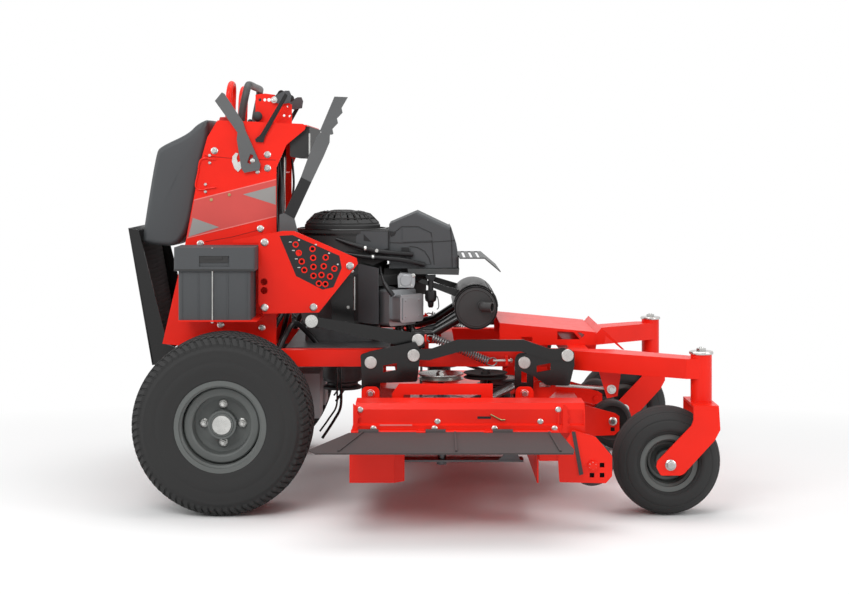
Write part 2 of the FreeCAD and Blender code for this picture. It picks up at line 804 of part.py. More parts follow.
def side_boxes():
    """Battery box on the right shelf, with its lid, and the fuel tank on the left one."""
    near = -size.battery_inner - size.battery_width
    base = plate("XY", [
        (size.battery_rear_x, near), (size.battery_rear_x + size.battery_length, near),
        (size.battery_rear_x + size.battery_length, -size.battery_inner), (size.battery_rear_x,
                                                                           -size.battery_inner),
    ], size.shelf_height, size.battery_height)
    rounded(base, size.box_corner, upright("Z"))
    node(base, "battery_box")
    lip = size.lid_lip
    lid = plate("XY", [
        (size.battery_rear_x - lip, near - lip + 5), (size.battery_rear_x + size.battery_length + lip,
                                                      near - lip + 5),
        (size.battery_rear_x + size.battery_length + lip, -size.battery_inner), (size.battery_rear_x - lip,
                                                                                 -size.battery_inner),
    ], size.shelf_height + size.battery_height, size.lid_height)
    rounded(lid, size.box_corner, upright("Z"))
    recess = box(size.battery_rear_x + size.battery_length / 2 - 48, near - lip,
                 size.shelf_height + size.battery_height + 14,
                 96, 10, 34)
    node(cut(lid, recess), "battery_lid")
    rear = size.battery_rear_x
    far = rear + size.battery_length + 10
    low = size.shelf_height
    high = low + size.battery_height * 2
    tank = plate("XZ", [(rear, low), (far, low), (far, high - 70), (far - 60, high), (rear + 30, high),
                        (rear, high - 40)],
                 size.battery_inner, size.battery_width + 6)
    rounded(tank, size.box_corner, upright("Y"))
    cap = rod("Z", rear + size.battery_length / 2, size.battery_inner + size.battery_width / 2, high, 38, 26)
    node(fused(tank, cap), "fuel_tank")


def height_plate():
    """The plate whose holes set the cutting height, outboard of the lift lever."""
    low = -size.lever_plane - 54
    outline = [(-592, 834), (-592, 842), (-430, 872), (-392, 872), (-190, 784), (-186, 766),
               (-312, 608), (-492, 604), (-508, 636), (-508, 834)]
    holes = []
    for row in range(4):
        for step in range(4 if row < 3 else 3):
            radius = size.pin_fan_radius - 29 * row - 21 * step
            angle = math.radians(105 - 16 * step - row)
            holes.append((size.pin_fan_x + radius * math.cos(angle), size.pin_fan + radius * math.sin(angle),
                          size.pin_hole))
    holes += [(size.rack_hole_x, size.rack_hole + side * size.rack_pitch / 2,
               size.rack_hole_radius) for side in (-1, 1)]
    face = plate("XZ", outline, low, size.sheet_steel)
    rounded(face, 3, upright("Y"))
    face = cut(face, *[rod("Y", x, low - 1, z, radius, size.sheet_steel + 2) for x, z, radius in holes])
    spacers = [rod("Y", x, low, z, 12, -size.tower_half - low) for x, z in ((-480, 848), (-480, 630))]
    pivot = rod("Y", size.lever_pivot_x, low, size.lever_pivot, size.lever_pin, -size.lever_plane + 14 - low)
    washer = rod("Y", size.lever_pivot_x, low, size.lever_pivot, size.lever_pin * 1.8,
                 -size.lever_plane - size.seat_gap - low)
    node(fused(face, *spacers, pivot, washer), "height_plate")


# ---------------------------------------------------------------- power

def transaxles():
    """Two hydrostatic transaxles with their output shafts and wheel hubs."""
    case = rod("Y", size.drive_axle_x, 60, size.drive_tyre_radius, 56, 170)
    block = box(size.drive_axle_x + 30, 70, size.drive_tyre_radius - 40, 250, 150, 150)
    shaft_end = size.drive_wheel_y + size.drive_tyre_width / 2 - size.drive_hub_recess - size.drive_disc
    shaft = rod("Y", size.drive_axle_x, 220, size.drive_tyre_radius, size.drive_shaft, shaft_end - 222)
    arm = box(size.drive_axle_x + 120, 210, size.drive_tyre_radius + 60, 60, size.rail_outer - 215, 12)
    post = box(size.drive_axle_x + 130, size.rail_outer - 50, size.drive_tyre_radius + 60, 40, 40,
               size.rail_top - size.rail_depth - size.drive_tyre_radius - 60)
    node(both(fused(case, block, shaft, arm, post)), "transaxles")


def fan_screen(radius, roof):
    """The domed screen over the cooling fan: a turned shell with two rings of radial slots."""
    wall = 4
    dome = turned("XZ", [
        (0, roof + 60), (0, roof + 64), (radius * 0.46, roof + 62), (radius * 0.74, roof + 50),
        (radius * 0.96, roof + 20),
        (radius, roof + 14), (radius, roof), (radius - wall, roof), (radius - wall, roof + 12),
        (radius * 0.96 - wall, roof + 17), (radius * 0.74 - wall, roof + 46), (radius * 0.46, roof + 58),
    ], "V_Axis")
    width = 6
    slots = []
    for start, reach, count in ((0.2, 0.42, 16), (0.58, 0.86, 28)):
        for number_round in range(count):
            slot = plate("XY", [(radius * start, -width / 2), (radius * reach, -width / 2),
                                (radius * reach, width / 2), (radius * start, width / 2)], 0, 60)
            slot.Placement.Rotation = FreeCAD.Rotation(Vector(0, 0, 1), 360 * number_round / count)
            place(slot, 0, 0, roof + 18)
            slots.append(slot)
    return cut(dome, *slots)


def engine():
    """The open V-twin: crankcase, finned cylinders, blower shroud, screen, air cleaner and exhaust."""
    x = size.engine_x
    floor = size.engine_floor
    inner = size.rail_outer - size.rail_width
    gap = size.seat_gap
    mount = box(x - 170, -inner, size.rail_top - 4, 340, inner * 2, 8)
    case = rod("Z", x, 0, floor - 12, size.case_radius - gap, size.case_top - floor + 12)
    sump = plate("XY", [(x - 120, -140), (x + 110, -140), (x + 128, -100), (x + 128, 100), (x + 110, 140),
                        (x - 120, 140)],
                 floor - 12, 46)
    rounded(sump, 14, upright("Z"))
    clutch = turned("XZ", [(0, floor - 190), (66, floor - 190), (66, floor - 182), (54, floor - 176),
                           (54, floor - 168),
                           (66, floor - 162), (66, floor - 150), (78, floor - 150), (78, floor - 96),
                           (30, floor - 90),
                           (30, floor - 16), (0, floor - 16)], "V_Axis")
    place(clutch, x, 0, 0)
    node(fused(mount, case, sump, clutch), "engine_block")
    pitch = 11
    root = 50
    comb = [(size.case_radius, 0), (size.case_radius, root)]
    for i in range(11):
        start = size.case_radius + 6 + pitch * i
        comb += [(start, root), (start, 66), (start + 4, 66), (start + 4, root)]
    head_start = size.case_radius + 132
    comb += [(head_start, root), (head_start, 0)]
    pots = []
    for side in (-1, 1):
        barrel = turned("XZ", comb, "H_Axis")
        head = plate("YZ", [(-62, -60), (62, -60), (62, 60), (-62, 60)], head_start, 50)
        rounded(head, 10, upright("X"))
        cover = plate("YZ", [(-54, -46), (54, -46), (54, 46), (-54, 46)], head_start + 50, 44)
        rounded(cover, 12, upright("X"))
        pot = fused(barrel, head, cover)
        pot.Placement.Rotation = FreeCAD.Rotation(Vector(0, 0, 1), side * 45)
        place(pot, x, 0, size.cylinder_height)
        pots.append(pot)
    node(group(*pots), "cylinders")
    top = size.blower_top
    low = size.case_top
    volute = rod("Z", x, 0, low, size.blower_radius, top - low)
    shroud = plate("XZ", [(x + 20, top), (size.cleaner_rear_x - gap, top), (size.cleaner_rear_x - gap,
                                                                            top - 96),
                          (x + 110, top - 118), (x + 20, top - 92)], -size.blower_radius + 12,
                   (size.blower_radius - 12) * 2)
    sleeves = []
    for side in (-1, 1):
        arch = low - size.cylinder_height
        sleeve = plate("YZ", [(-74, -52), (-69, -52), (-69, 70), (69, 70), (69, -52), (74, -52),
                              (74, arch + 6),
                              (-74, arch + 6)], size.case_radius + 4, 112)
        sleeve.Placement.Rotation = FreeCAD.Rotation(Vector(0, 0, 1), side * 45)
        place(sleeve, x, 0, size.cylinder_height)
        sleeves.append(sleeve)
    ring = turned("XZ", [(size.blower_radius - 20, top), (size.blower_radius + 6, top),
                         (size.blower_radius + 6, top - 10),
                         (size.blower_radius - 20, top - 10)], "V_Axis")
    place(ring, x, 0, 0)
    node(fused(volute, shroud, ring, *sleeves), "blower_housing")
    node(fan_screen(size.screen_radius, top), "fan_screen", x)
    rear = size.cleaner_rear_x
    cleaner = plate("XZ", [(rear, size.cleaner_base), (rear + 232, size.cleaner_base + 2),
                           (rear + 232, size.cleaner_base + 60),
                           (rear + 228, size.cleaner_base + 84), (rear + 212, size.cleaner_base + 136),
                           (rear + 96, size.cleaner_base + 191), (rear, size.cleaner_base + 150)],
                    -size.cleaner_half, size.cleaner_half * 2)
    rounded(cleaner, 11, lambda edge: not upright("Y")(edge) and edge.BoundBox.YLength < 1
            and edge.Vertexes[0].X > rear.value + 1 and edge.Vertexes[1].X > rear.value + 1)
    tray = plate("XZ", [(rear + 62, size.cleaner_base - gap), (rear + 66, size.cleaner_base - 18),
                        (rear + 236, size.cleaner_base - 22), (rear + 238, size.cleaner_base - gap)],
                 -size.cleaner_half - 6, size.cleaner_half * 2 + 12)
    neck = box(x + 160, -46, size.cleaner_base - 95, 131, 92, 78)
    node(cleaner, "air_cleaner")
    guard = plate("XZ", [(rear + 238, size.cleaner_base + 36), (rear + 238, size.cleaner_base + 40),
                         (rear + 322, size.cleaner_base + 40), (rear + 376, size.cleaner_base - 6),
                         (rear + 374, size.cleaner_base - 9), (rear + 321, size.cleaner_base + 36)], -200,
                  400)
    louvres = [box(rear + 250 + 24 * i, -180, size.cleaner_base + 20, 10, 360, 40) for i in range(3)]
    strut = plate("XZ", [(rear + 232.5, size.cleaner_base - 20), (rear + 238.5, size.cleaner_base - 20),
                         (rear + 238.5, size.cleaner_base + 40), (rear + 232.5, size.cleaner_base + 40)],
                  -60, 120)
    node(fused(tray, neck, strut, cut(guard, *louvres)), "heat_guard")
    exhaust(gap)


def exhaust(gap):
    """The muffler across the front with its perforated shield and tailpipe, and the two pipes to it."""
    radius = size.muffler_radius
    half = size.muffler_half
    can = rod("Y", 0, -half + 12, 0, radius - 2, half * 2 - 24)
    ends = [rod("Y", 0, y, 0, radius, 12) for y in (-half, half - 12)]
    shell = turned("YZ", [(-half * 0.8, radius + 2), (half * 0.8, radius + 2), (half * 0.8, radius + 5),
                          (-half * 0.8, radius + 5)])
    below = box(-radius * 2, -half, -radius * 2, radius * 4, half * 2, radius * 2)
    shield = cut(shell, below)
    lugs = [box(-5, y, radius - 5, 10, 12, 8) for y in (-half * 0.6, half * 0.6)]
    tail = shaped(pipe([(22, -half + 30, 6), (22, -half - 30, 6), (52, -half - 46, 6)], size.tail_radius, 14))
    bore = shaped(pipe([(22, -half - 4, 6), (22, -half - 30, 6), (54, -half - 47, 6)], size.tail_radius - 3,
                       14))
    node(fused(can, *ends, shield, *lugs, cut(tail, bore)), "muffler", size.muffler_x, 0, size.muffler_height)
    clear = rod("Y", size.muffler_x, -half, size.muffler_height, radius - 2 + gap, half * 2)
    runs = [((-54, -197, 549.7), (-54, -197, 514), (60, -196, 522), (150, -194, 574)),
            ((-18, -172, 549.7), (-18, -172, 512), (70, -158, 536), (150, -158, 588))]
    pipes = []
    for run in runs:
        tube = cut(shaped(pipe(run, size.pipe_radius, 22)), clear)
        pipes.append(tube)
    round_shield = rod("Y", size.muffler_x, -half, size.muffler_height, radius + 5 + gap, half * 2)
    strap = plate("XZ", [(8, 690), (22, 700), (150, 662), (146, 640), (136, 640)], -150, 4)
    node(group(both(pipes[0]), both(pipes[1]), both(cut(strap, round_shield))), "exhaust_pipes")


# ---------------------------------------------------------------- deck

def deck_belt(roof):
    """The drive belt round the three spindle pulleys, clear of their grooves."""
    inner = size.pulley_radius - size.groove_depth + size.seat_gap
    outer = inner + size.belt_width
    low = roof + 2 + (size.pulley_height - size.belt_height) / 2
    spots = [Vector(number(size.spindle_side_x), -number(size.spindle_side_y), 0),
             Vector(number(size.spindle_mid_x), 0, 0),
             Vector(number(size.spindle_side_x), number(size.spindle_side_y), 0)]
    loops = []
    for radius in (number(inner), number(outer)):
        edges = []
        turns = []
        for here, there in zip(spots, spots[1:] + spots[:1]):
            away = (there - here).normalize()
            side = Vector(away.y, -away.x, 0)
            turns.append((here + side * radius, there + side * radius, side))
        for i, (start, end, side) in enumerate(turns):
            following = turns[(i + 1) % 3]
            edges.append(Part.LineSegment(start, end).toShape())
            middle = (side + following[2]).normalize()
            centre = spots[(i + 1) % 3]
            edges.append(Part.Arc(end, centre + middle * radius, following[0]).toShape())
        loops.append(Part.Wire(edges))
    band = Part.Face(loops[1]).cut(Part.Face(loops[0])).extrude(Vector(0, 0, number(size.belt_height)))
    band.translate(Vector(0, 0, number(low)))
    return shaped(band)


def hinge_starts(first):
    """Where the chute's barrels start along its hinge pin."""
    step = (size.chute_length - size.lug_length) / 3
    return [first + size.clearance / 2 + step * i for i in range(3)]


def wall_plate(corners, low, high):
    """One upright deck wall between two outer corners, with its mitred inner edge, short of its neighbours."""
    start, end, inner_end, inner_start = corners
    along = [number(end[i]) - number(start[i]) for i in (0, 1)]
    gaps = [math.copysign(number(size.seat_gap) / 2, step) if abs(step) > 1 else 0 for step in along]
    points = [(start[0] + gaps[0], start[1] + gaps[1]), (end[0] - gaps[0], end[1] - gaps[1]),
              (inner_end[0] - gaps[0], inner_end[1] - gaps[1]), (inner_start[0] + gaps[0],
                                                                 inner_start[1] + gaps[1])]
    return plate("XY", points, low, high - low)


def deck_walls():
    """The deck's upright walls, welded up from plates; the right side stays open ahead of its baffle."""
    wall = size.deck_sheet
    slant = wall * 0.4
    nose = size.deck_nose_half
    notch = size.deck_notch_half
    half = size.deck_half
    outer = [
        (size.deck_front_x, -half), (size.deck_front_x, -nose - 130), (size.deck_nose_x, -nose),
        (size.deck_nose_x, nose), (size.deck_front_x, nose + 130), (size.deck_front_x, size.deck_left),
        (size.deck_rear_x, size.deck_left), (size.deck_rear_x, notch + 130), (size.deck_notch_x, notch),
        (size.deck_notch_x, -notch), (size.deck_rear_x, -notch - 130), (size.deck_rear_x, -half),
        (size.baffle_bend_x, -half), (size.baffle_end_x, -half + size.baffle_turn),
    ]
    inner = [
        (size.deck_front_x - wall, -half), (size.deck_front_x - wall, -nose - 130 + slant),
        (size.deck_nose_x - wall, -nose + slant), (size.deck_nose_x - wall, nose - slant),
        (size.deck_front_x - wall, nose + 130 - slant), (size.deck_front_x - wall, size.deck_left - wall),
        (size.deck_rear_x + wall, size.deck_left - wall), (size.deck_rear_x + wall, notch + 130 + slant),
        (size.deck_notch_x + wall, notch + slant), (size.deck_notch_x + wall, -notch - slant),
        (size.deck_rear_x + wall, -notch - 130 - slant), (size.deck_rear_x + wall, -half + wall),
        (size.baffle_bend_x - slant, -half + wall), (size.baffle_end_x - wall,
                                                     -half + size.baffle_turn + slant),
    ]
    top = size.deck_top - wall - size.seat_gap
    return [wall_plate((outer[i], outer[i + 1], inner[i + 1], inner[i]), size.deck_bottom, top)
            for i in range(len(outer) - 1)]


def discharge_channel():
    """The folded channel along the open side, with the hinge pin and its lugs in front of it."""
    sheet = size.cover_sheet
    near = -size.deck_half
    foot = size.chute_height - 4
    crest = size.cover_top
    profile = [
        (near, foot), (near, foot + 22), (near + 8, foot + 26), (near + 8, crest - 18), (near + 18, crest),
        (near + size.cover_depth, crest), (near + size.cover_depth, size.deck_top + size.seat_gap),
        (near + size.cover_depth - sheet, size.deck_top + size.seat_gap),
        (near + size.cover_depth - sheet, crest - sheet), (near + 18 + sheet * 0.6, crest - sheet),
        (near + 8 + sheet, crest - 18 - sheet * 0.4), (near + 8 + sheet, foot + 24),
        (near + sheet, foot + 20),
        (near + sheet, foot),
    ]
    start = size.deck_rear_x + 22
    finish = size.deck_front_x + size.cover_overhang
    channel = plate("YZ", profile, start, finish - start)
    ends = []
    for spot in (start - sheet, size.deck_front_x + 58, finish):
        ends.append(plate("YZ", [(near, foot), (near, crest - 30), (near + 18, crest),
                                 (near + size.cover_depth, crest),
                                 (near + size.cover_depth, size.deck_top + size.seat_gap),
                                 (near + sheet, foot - 10)],
                          spot, sheet))
    pin_y = near - size.chute_gap
    step = (size.chute_length - size.lug_length) / 3
    hinge = [rod("X", size.chute_rear_x, pin_y, size.chute_height, size.chute_pin, size.chute_length)]
    for i in range(4):
        hinge.append(box(size.chute_rear_x + step * i, pin_y - 3, size.chute_height - 5, size.lug_length,
                         size.chute_gap + 7, 10))
    return fused(channel, *ends, *hinge)


def corner_bracket():
    """The plate outboard of a corner roller, with its adjusting holes, bolt and web to the deck."""
    x, z = size.corner_wheel_x, size.corner_wheel
    y = size.deck_half + 20
    squares = [[(x + side_x, z + side_z), (x + side_x + 14, z + side_z), (x + side_x + 14, z + side_z + 14),
                (x + side_x, z + side_z + 14)] for side_x, side_z in ((21, -6), (-9, -36), (21, -36))]
    face = plate("XZ", [(x - 99, z - 50), (x - 104, z + 31), (x - 60, z + 106), (x + 9, z + 85),
                        (x + 45, z + 43),
                        (x + 58, z + 28), (x + 58, z - 32), (x + 39, z - 53)], y, size.deck_sheet)
    rounded(face, 4, upright("Y"))
    holes = [plate("XZ", square, y - 1, size.deck_sheet + 2) for square in squares]
    bolt = rod("Y", x, y - size.scalp_width - 24, z, size.axle_radius, size.scalp_width + 40)
    head = rod("Y", x, y + size.deck_sheet, z, size.axle_radius * 1.5, 8)
    web = box(size.deck_front_x + size.seat_gap, size.deck_half - 60, size.deck_bottom + 70,
              x - 92 - size.deck_front_x, 82, 56)
    return fused(cut(face, *holes), bolt, head, web)


def nose_bracket():
    """The fork of two plates that carries a nose roller, with its bolt."""
    x, y, z = size.nose_wheel_x, size.nose_wheel_y, size.nose_wheel
    rear = size.deck_nose_x - 64
    outline = [(rear, size.deck_top + 24), (rear, z - 36), (rear + 50, z - 50), (x + 6, z - 46),
               (x + 22, z - 30),
               (x + 22, z + 16), (x + 8, z + 26), (rear + 60, size.deck_top + 24)]
    square = [(x - 7, z - 34), (x + 7, z - 34), (x + 7, z - 20), (x - 7, z - 20)]
    half = size.scalp_width / 2 + 6
    sides = [plate("XZ", outline, low, size.deck_sheet, windows=[square]) for low in (y + half,
                                                                                      y - half - size.deck_sheet)]
    bolt = rod("Y", x, y - half - size.deck_sheet - 6, z, size.axle_radius, (half + size.deck_sheet + 6) * 2)
    bridge = box(rear, y - half, size.deck_top + size.seat_gap, 60, half * 2, 6)
    return fused(*sides, bolt, bridge)


def belt_hoop():
    """The upright hoop that guards the side pulley."""
    rear = size.spindle_side_x - 156
    front = size.spindle_side_x + 157
    base = size.deck_top + size.seat_gap
    crest = size.hoop_top
    return plate("XZ", [(rear, base), (rear, crest - 30), (rear + 22, crest), (front, crest), (front, base),
                        (front - 36, base), (front - 36, crest - 34), (rear + 36, crest - 34),
                        (rear + 36, base)],
                 -size.hoop_y, size.deck_sheet)


def spindle_spots():
    """Where the three blade spindles stand: right, middle and left."""
    return [(size.spindle_side_x, -size.spindle_side_y), (size.spindle_mid_x, 0),
            (size.spindle_side_x, size.spindle_side_y)]


def deck():
    """The fabricated deck: top plate, walls, brackets, hinge channel, hoop and hanger ears."""
    wall = size.deck_sheet
    nose = size.deck_nose_half
    notch = size.deck_notch_half
    plan = [
        (size.deck_rear_x, -size.deck_half), (size.deck_front_x, -size.deck_half),
        (size.deck_front_x, -nose - 130), (size.deck_nose_x, -nose), (size.deck_nose_x, nose),
        (size.deck_front_x, nose + 130), (size.deck_front_x, size.deck_left), (size.deck_rear_x,
                                                                               size.deck_left),
        (size.deck_rear_x, notch + 130), (size.deck_notch_x, notch), (size.deck_notch_x, -notch),
        (size.deck_rear_x, -notch - 130),
    ]
    top = plate("XY", plan, size.deck_top - wall, wall, [(x, y, size.housing_radius) for x,
                                                         y in spindle_spots()])
    ears = []
    for pivot_x in (size.rear_pivot_x, size.front_pivot_x):
        ear_x = pivot_x - size.hanger_x
        ear = plate("XZ", [(ear_x - 30, size.deck_top + size.seat_gap),
                           (ear_x + 30, size.deck_top + size.seat_gap),
                           (ear_x + 29, size.ear_height + 22), (ear_x - 29, size.ear_height + 22)],
                    size.link_plane + size.clearance, size.heavy_plate)
        rounded(ear, 18, lambda edge: upright("Y")(edge) and edge.Vertexes[0].Z > size.ear_height.value)
        pin_low = size.link_plane - size.link_plate * 2 - 4
        pin_end = size.link_plane + size.clearance + size.heavy_plate
        ears.append(fused(ear, rod("Y", ear_x, pin_low, size.ear_height, size.link_pin, pin_end - pin_low),
                          rod("Y", ear_x, pin_end, size.ear_height, size.link_pin * 1.5, size.clearance)))
    slot_half = size.link_pin * 0.75 + 1.5
    stay_x = size.drag_foot_x
    stay_rear = size.deck_front_x - 60
    stay = plate("XZ", [(stay_rear, size.deck_top + size.seat_gap), (size.deck_front_x,
                                                                     size.deck_top + size.seat_gap),
                        (stay_x + 44, size.drag_foot - 22), (stay_x + 44, size.drag_foot + 13),
                        (stay_x - 22, size.drag_foot + 13), (stay_rear, size.deck_top + 40)],
                 size.drag_y + 9, size.deck_sheet,
                 windows=[[(stay_x - slot_half - 2, size.drag_foot - slot_half),
                           (stay_x + slot_half + 20, size.drag_foot - slot_half),
                           (stay_x + slot_half + 20, size.drag_foot + slot_half),
                           (stay_x - slot_half - 2, size.drag_foot + slot_half)]])
    pieces = [*ears, stay, corner_bracket(), nose_bracket()]
    node(group(top, *deck_walls(), discharge_channel(), belt_hoop(), *pieces,
               *[mirrored(item) for item in pieces]),
         "deck_shell")


def rollers():
    """The four rollers that keep the deck off high ground: two at its corners, two at its nose."""
    half = size.scalp_width / 2
    bore = size.axle_radius + size.pin_fit
    web = size.scalp_radius - 16
    spots = (("corner", size.corner_wheel_x, size.deck_half + 20 - half - 6, size.corner_wheel),
             ("nose", size.nose_wheel_x, size.nose_wheel_y, size.nose_wheel))
    for side, name in ((-1, "right"), (1, "left")):
        for spot, x, y, z in spots:
            tread = turned("YZ", [
                (-half, bore), (half, bore), (half, bore + 12), (half * 0.5, bore + 12), (half * 0.5, web),
                (half, web),
                (half, size.scalp_radius), (-half, size.scalp_radius), (-half, web), (-half * 0.5, web),
                (-half * 0.5, bore + 12), (-half, bore + 12)])
            rounded(tread, 10, round_edge(size.scalp_radius))
            node(tread, f"{spot}_wheel_{name}", x, side * y, z)


def spindles():
    """Spindle housings, the blades below, the pulleys above and the belt round them."""
    housings = []
    for x, y in spindle_spots():
        flange = rod("Z", x, y, size.deck_top, size.housing_radius * 1.7, 12)
        barrel = rod("Z", x, y, size.deck_top, size.housing_radius, size.housing_height)
        bore = rod("Z", x, y, size.deck_top - 1, size.spindle_radius + size.pin_fit, size.housing_height + 2)
        bolts = [rod("Z", x + size.housing_radius * 1.4 * math.cos(math.radians(60 * turn)),
                     y + size.housing_radius * 1.4 * math.sin(math.radians(60 * turn)), size.deck_top + 11,
                     8, 9)
                 for turn in range(6)]
        housings.append(cut(fused(flange, barrel, *bolts), bore))
    node(group(*housings), "spindle_housings")
    roof = size.deck_top + size.housing_height
    node(deck_belt(roof), "deck_belt")
    for (x, y), name in zip(spindle_spots(), ("right", "middle", "left")):
        half = size.blade_width / 2
        blade = box(-size.blade_radius, -half, size.blade_height, size.blade_radius * 2, size.blade_width,
                    size.blade_thick)
        round_blank = rod("Z", 0, 0, size.blade_height, size.blade_radius, size.blade_thick)
        knife = doc.addObject("Part::MultiCommon", "Knife")
        knife.Shapes = [blade, round_blank]
        wing = plate("XZ", [(-size.blade_radius + 12, size.blade_height + size.blade_thick - 1),
                            (-size.blade_radius + 82, size.blade_height + size.blade_thick - 1),
                            (-size.blade_radius + 60, size.blade_height + 26), (-size.blade_radius + 20,
                                                                                size.blade_height + 26)],
                     half - 8, 5)
        twin = plate("XZ", [(size.blade_radius - 12, size.blade_height + size.blade_thick - 1),
                            (size.blade_radius - 20, size.blade_height + 26), (size.blade_radius - 60,
                                                                               size.blade_height + 26),
                            (size.blade_radius - 82, size.blade_height + size.blade_thick - 1)], -half + 3, 5)
        bolt = rod("Z", 0, 0, size.blade_height - 12, 16, 12.5)
        node(fused(knife, wing, twin, bolt), f"blade_{name}", x, y)
        shaft = rod("Z", 0, 0, size.blade_height + size.blade_thick, size.spindle_radius,
                    roof + size.pulley_height + 16 - size.blade_height - size.blade_thick)
        groove = size.pulley_radius - size.groove_depth
        wheel = turned("XZ", [(0, roof + 2), (size.pulley_radius, roof + 2), (size.pulley_radius, roof + 5),
                              (groove, roof + 7), (groove, roof + size.pulley_height - 3),
                              (size.pulley_radius, roof + size.pulley_height - 1),
                              (size.pulley_radius, roof + size.pulley_height + 2), (size.pulley_radius - 8,
                                                                                    roof + size.pulley_height + 2),
                              (size.pulley_radius - 14, roof + size.pulley_height - 6),
                              (30, roof + size.pulley_height - 6),
                              (26, roof + size.pulley_height + 8), (0, roof + size.pulley_height + 8)],
                       "V_Axis")
        node(fused(shaft, wheel), f"spindle_{name}", x, y)


def discharge():
    """The flared discharge chute, which swings up about the hinge pin on the deck's open side."""
    long = size.chute_length
    reach = size.chute_reach
    flare = size.chute_flare
    root = size.hinge_barrel * 0.5
    panel = plate("XY", [(0, -root), (long, -root), (long + flare * 0.25, -reach * 0.85),
                         (long + flare * 0.2, -reach),
                         (-flare * 0.8, -reach), (-flare, -reach * 0.86)], -3, 5)
    ribs = [plate("XY", [(x - 3, -root - 8), (x + 3, -root - 8), (x + lean + 3, -reach + 12),
                         (x + lean - 3, -reach + 12)],
                  1, 5) for x, lean in ((36, -flare * 0.55), (long * 0.5, 0), (long - 30, flare * 0.15))]
    starts = hinge_starts(size.lug_length)
    step = (long - size.lug_length) / 3
    notches = [box(step * i - size.clearance, -size.hinge_barrel - size.clearance, -20,
                   size.lug_length + size.clearance * 2, size.hinge_barrel * 2, 40) for i in range(4)]
    sheet_metal = cut(fused(panel, *ribs), *notches, rod("X", -1, 0, 0, size.chute_pin + 1, long + 2))
    sheet_metal.Placement.Rotation = FreeCAD.Rotation(Vector(1, 0, 0), size.chute_slope.value)
    barrels = []
    for start in starts:
        barrels.append(cut(rod("X", start, 0, 0, size.hinge_barrel, size.barrel_length),
                           rod("X", start - 1, 0, 0, size.chute_pin + size.pin_fit, size.barrel_length + 2)))
    node(fused(sheet_metal, *barrels), "chute", size.chute_rear_x, -size.deck_half - size.chute_gap,
         size.chute_height)


# ---------------------------------------------------------------- lift linkage

def pin_head(x, z, y):
    """The broad flat head on the outer end of a linkage pin."""
    return rod("Y", x, y, z, size.pin_head, size.pin_head_thick)


def lift():
    """Hand lever, push link, two cross-shaft cranks, long links and deck hangers."""
    y = size.link_plane
    thick = size.link_plate
    fit = size.pin_fit
    pin = size.link_pin
    plates = {
        "rear": [(-134, -22), (-139, 71), (-107, 82), (38, 113), (54, 84), (44, -16)],
        "front": [(-129, 64), (-99, 74), (20, 94), (55, 80), (55, 36), (39, -29), (-35, -27), (-73, 0),
                  (-129, 24)],
    }
    for pivot_x, name in ((size.rear_pivot_x, "rear"), (size.front_pivot_x, "front")):
        shaft = rod("Y", 0, -y + 2, 0, size.crank_shaft, y * 2 - 4)
        arm = plate("XZ", plates[name], y - thick, thick)
        rounded(arm, 9, upright("Y"))
        slot = [(-66, 14), (-22, 22), (-22, 44), (-66, 36)]
        opened = cut(arm, plate("XZ", slot, y - thick - 1, thick + 2))
        outside = [rod("Y", -size.hanger_x, y - thick - 12, size.hanger_rise, pin, thick + 12),
                   pin_head(-size.hanger_x, size.hanger_rise, y),
                   rod("Y", size.horn_x, y - 1, size.horn_rise, pin, thick + 2),
                   pin_head(size.horn_x, size.horn_rise, y + thick + 1)]
        parts = [shaft, opened, mirrored(opened), *outside, *[mirrored(item) for item in outside]]
        if name == "rear":
            horn_low = -size.lift_plane - thick * 2 - 5
            parts.append(plate("XZ", [(-22, 0), (-12, -20), (14, -18), (size.lift_horn_x + 20,
                                                                        size.lift_horn_rise - 6),
                                      (size.lift_horn_x + 12, size.lift_horn_rise + 18),
                                      (size.lift_horn_x - 16, size.lift_horn_rise + 14)], horn_low, thick))
            parts.append(rod("Y", size.lift_horn_x, horn_low, size.lift_horn_rise, pin, thick * 2 + 9))
            parts.append(pin_head(size.lift_horn_x, size.lift_horn_rise, horn_low - size.pin_head_thick))
        node(fused(*parts), f"{name}_crank", pivot_x, 0, size.pivot_height)
        drop = size.ear_height - size.pivot_height - size.hanger_rise
        across = size.hanger_half - 8
        slots = [[(-across, drop - pin - size.seat_gap), (across, drop - pin - size.seat_gap),
                  (across, drop + pin + 8), (-across, drop + pin + 8)],
                 [(-9, drop + 32), (9, drop + 32), (9, -26), (-9, -26)]]
        hanger = plate("XZ", [(-size.hanger_half, size.hanger_half), (size.hanger_half, size.hanger_half),
                              (size.hanger_half, drop - 22),
                              (-size.hanger_half, drop - 22)], y - thick * 2 - 3, thick)
        rounded(hanger, size.hanger_half * 0.8, lambda edge: upright("Y")(edge) and edge.Vertexes[0].Z > 0)
        tools = [plate("XZ", slot, y - thick * 2 - 4, thick + 2) for slot in slots]
        tools.append(rod("Y", 0, y - thick * 2 - 4, 0, pin + fit, thick + 2))
        node(both(cut(hanger, *tools)), f"{name}_hangers", pivot_x - size.hanger_x, 0,
             size.pivot_height + size.hanger_rise)
    reach = size.front_pivot_x - size.rear_pivot_x
    link = plate("XZ", [(-20, -12), (-14, 18), (60, 22), (140, 50), (reach - 140, 50), (reach - 60, 22),
                        (reach + 14, 18),
                        (reach + 20, -12), (reach - 50, -16), (reach - 150, 12), (150, 12), (50, -16)],
                 y + 0.5, thick)
    rounded(link, 7, upright("Y"))
    eyes = [rod("Y", x, y - 1, 0, pin + fit, thick + 3) for x in (0, reach)]
    node(both(cut(link, *eyes)), "long_links", size.rear_pivot_x + size.horn_x, 0,
         size.pivot_height + size.horn_rise)
    lever_and_link()
    drag_rods()


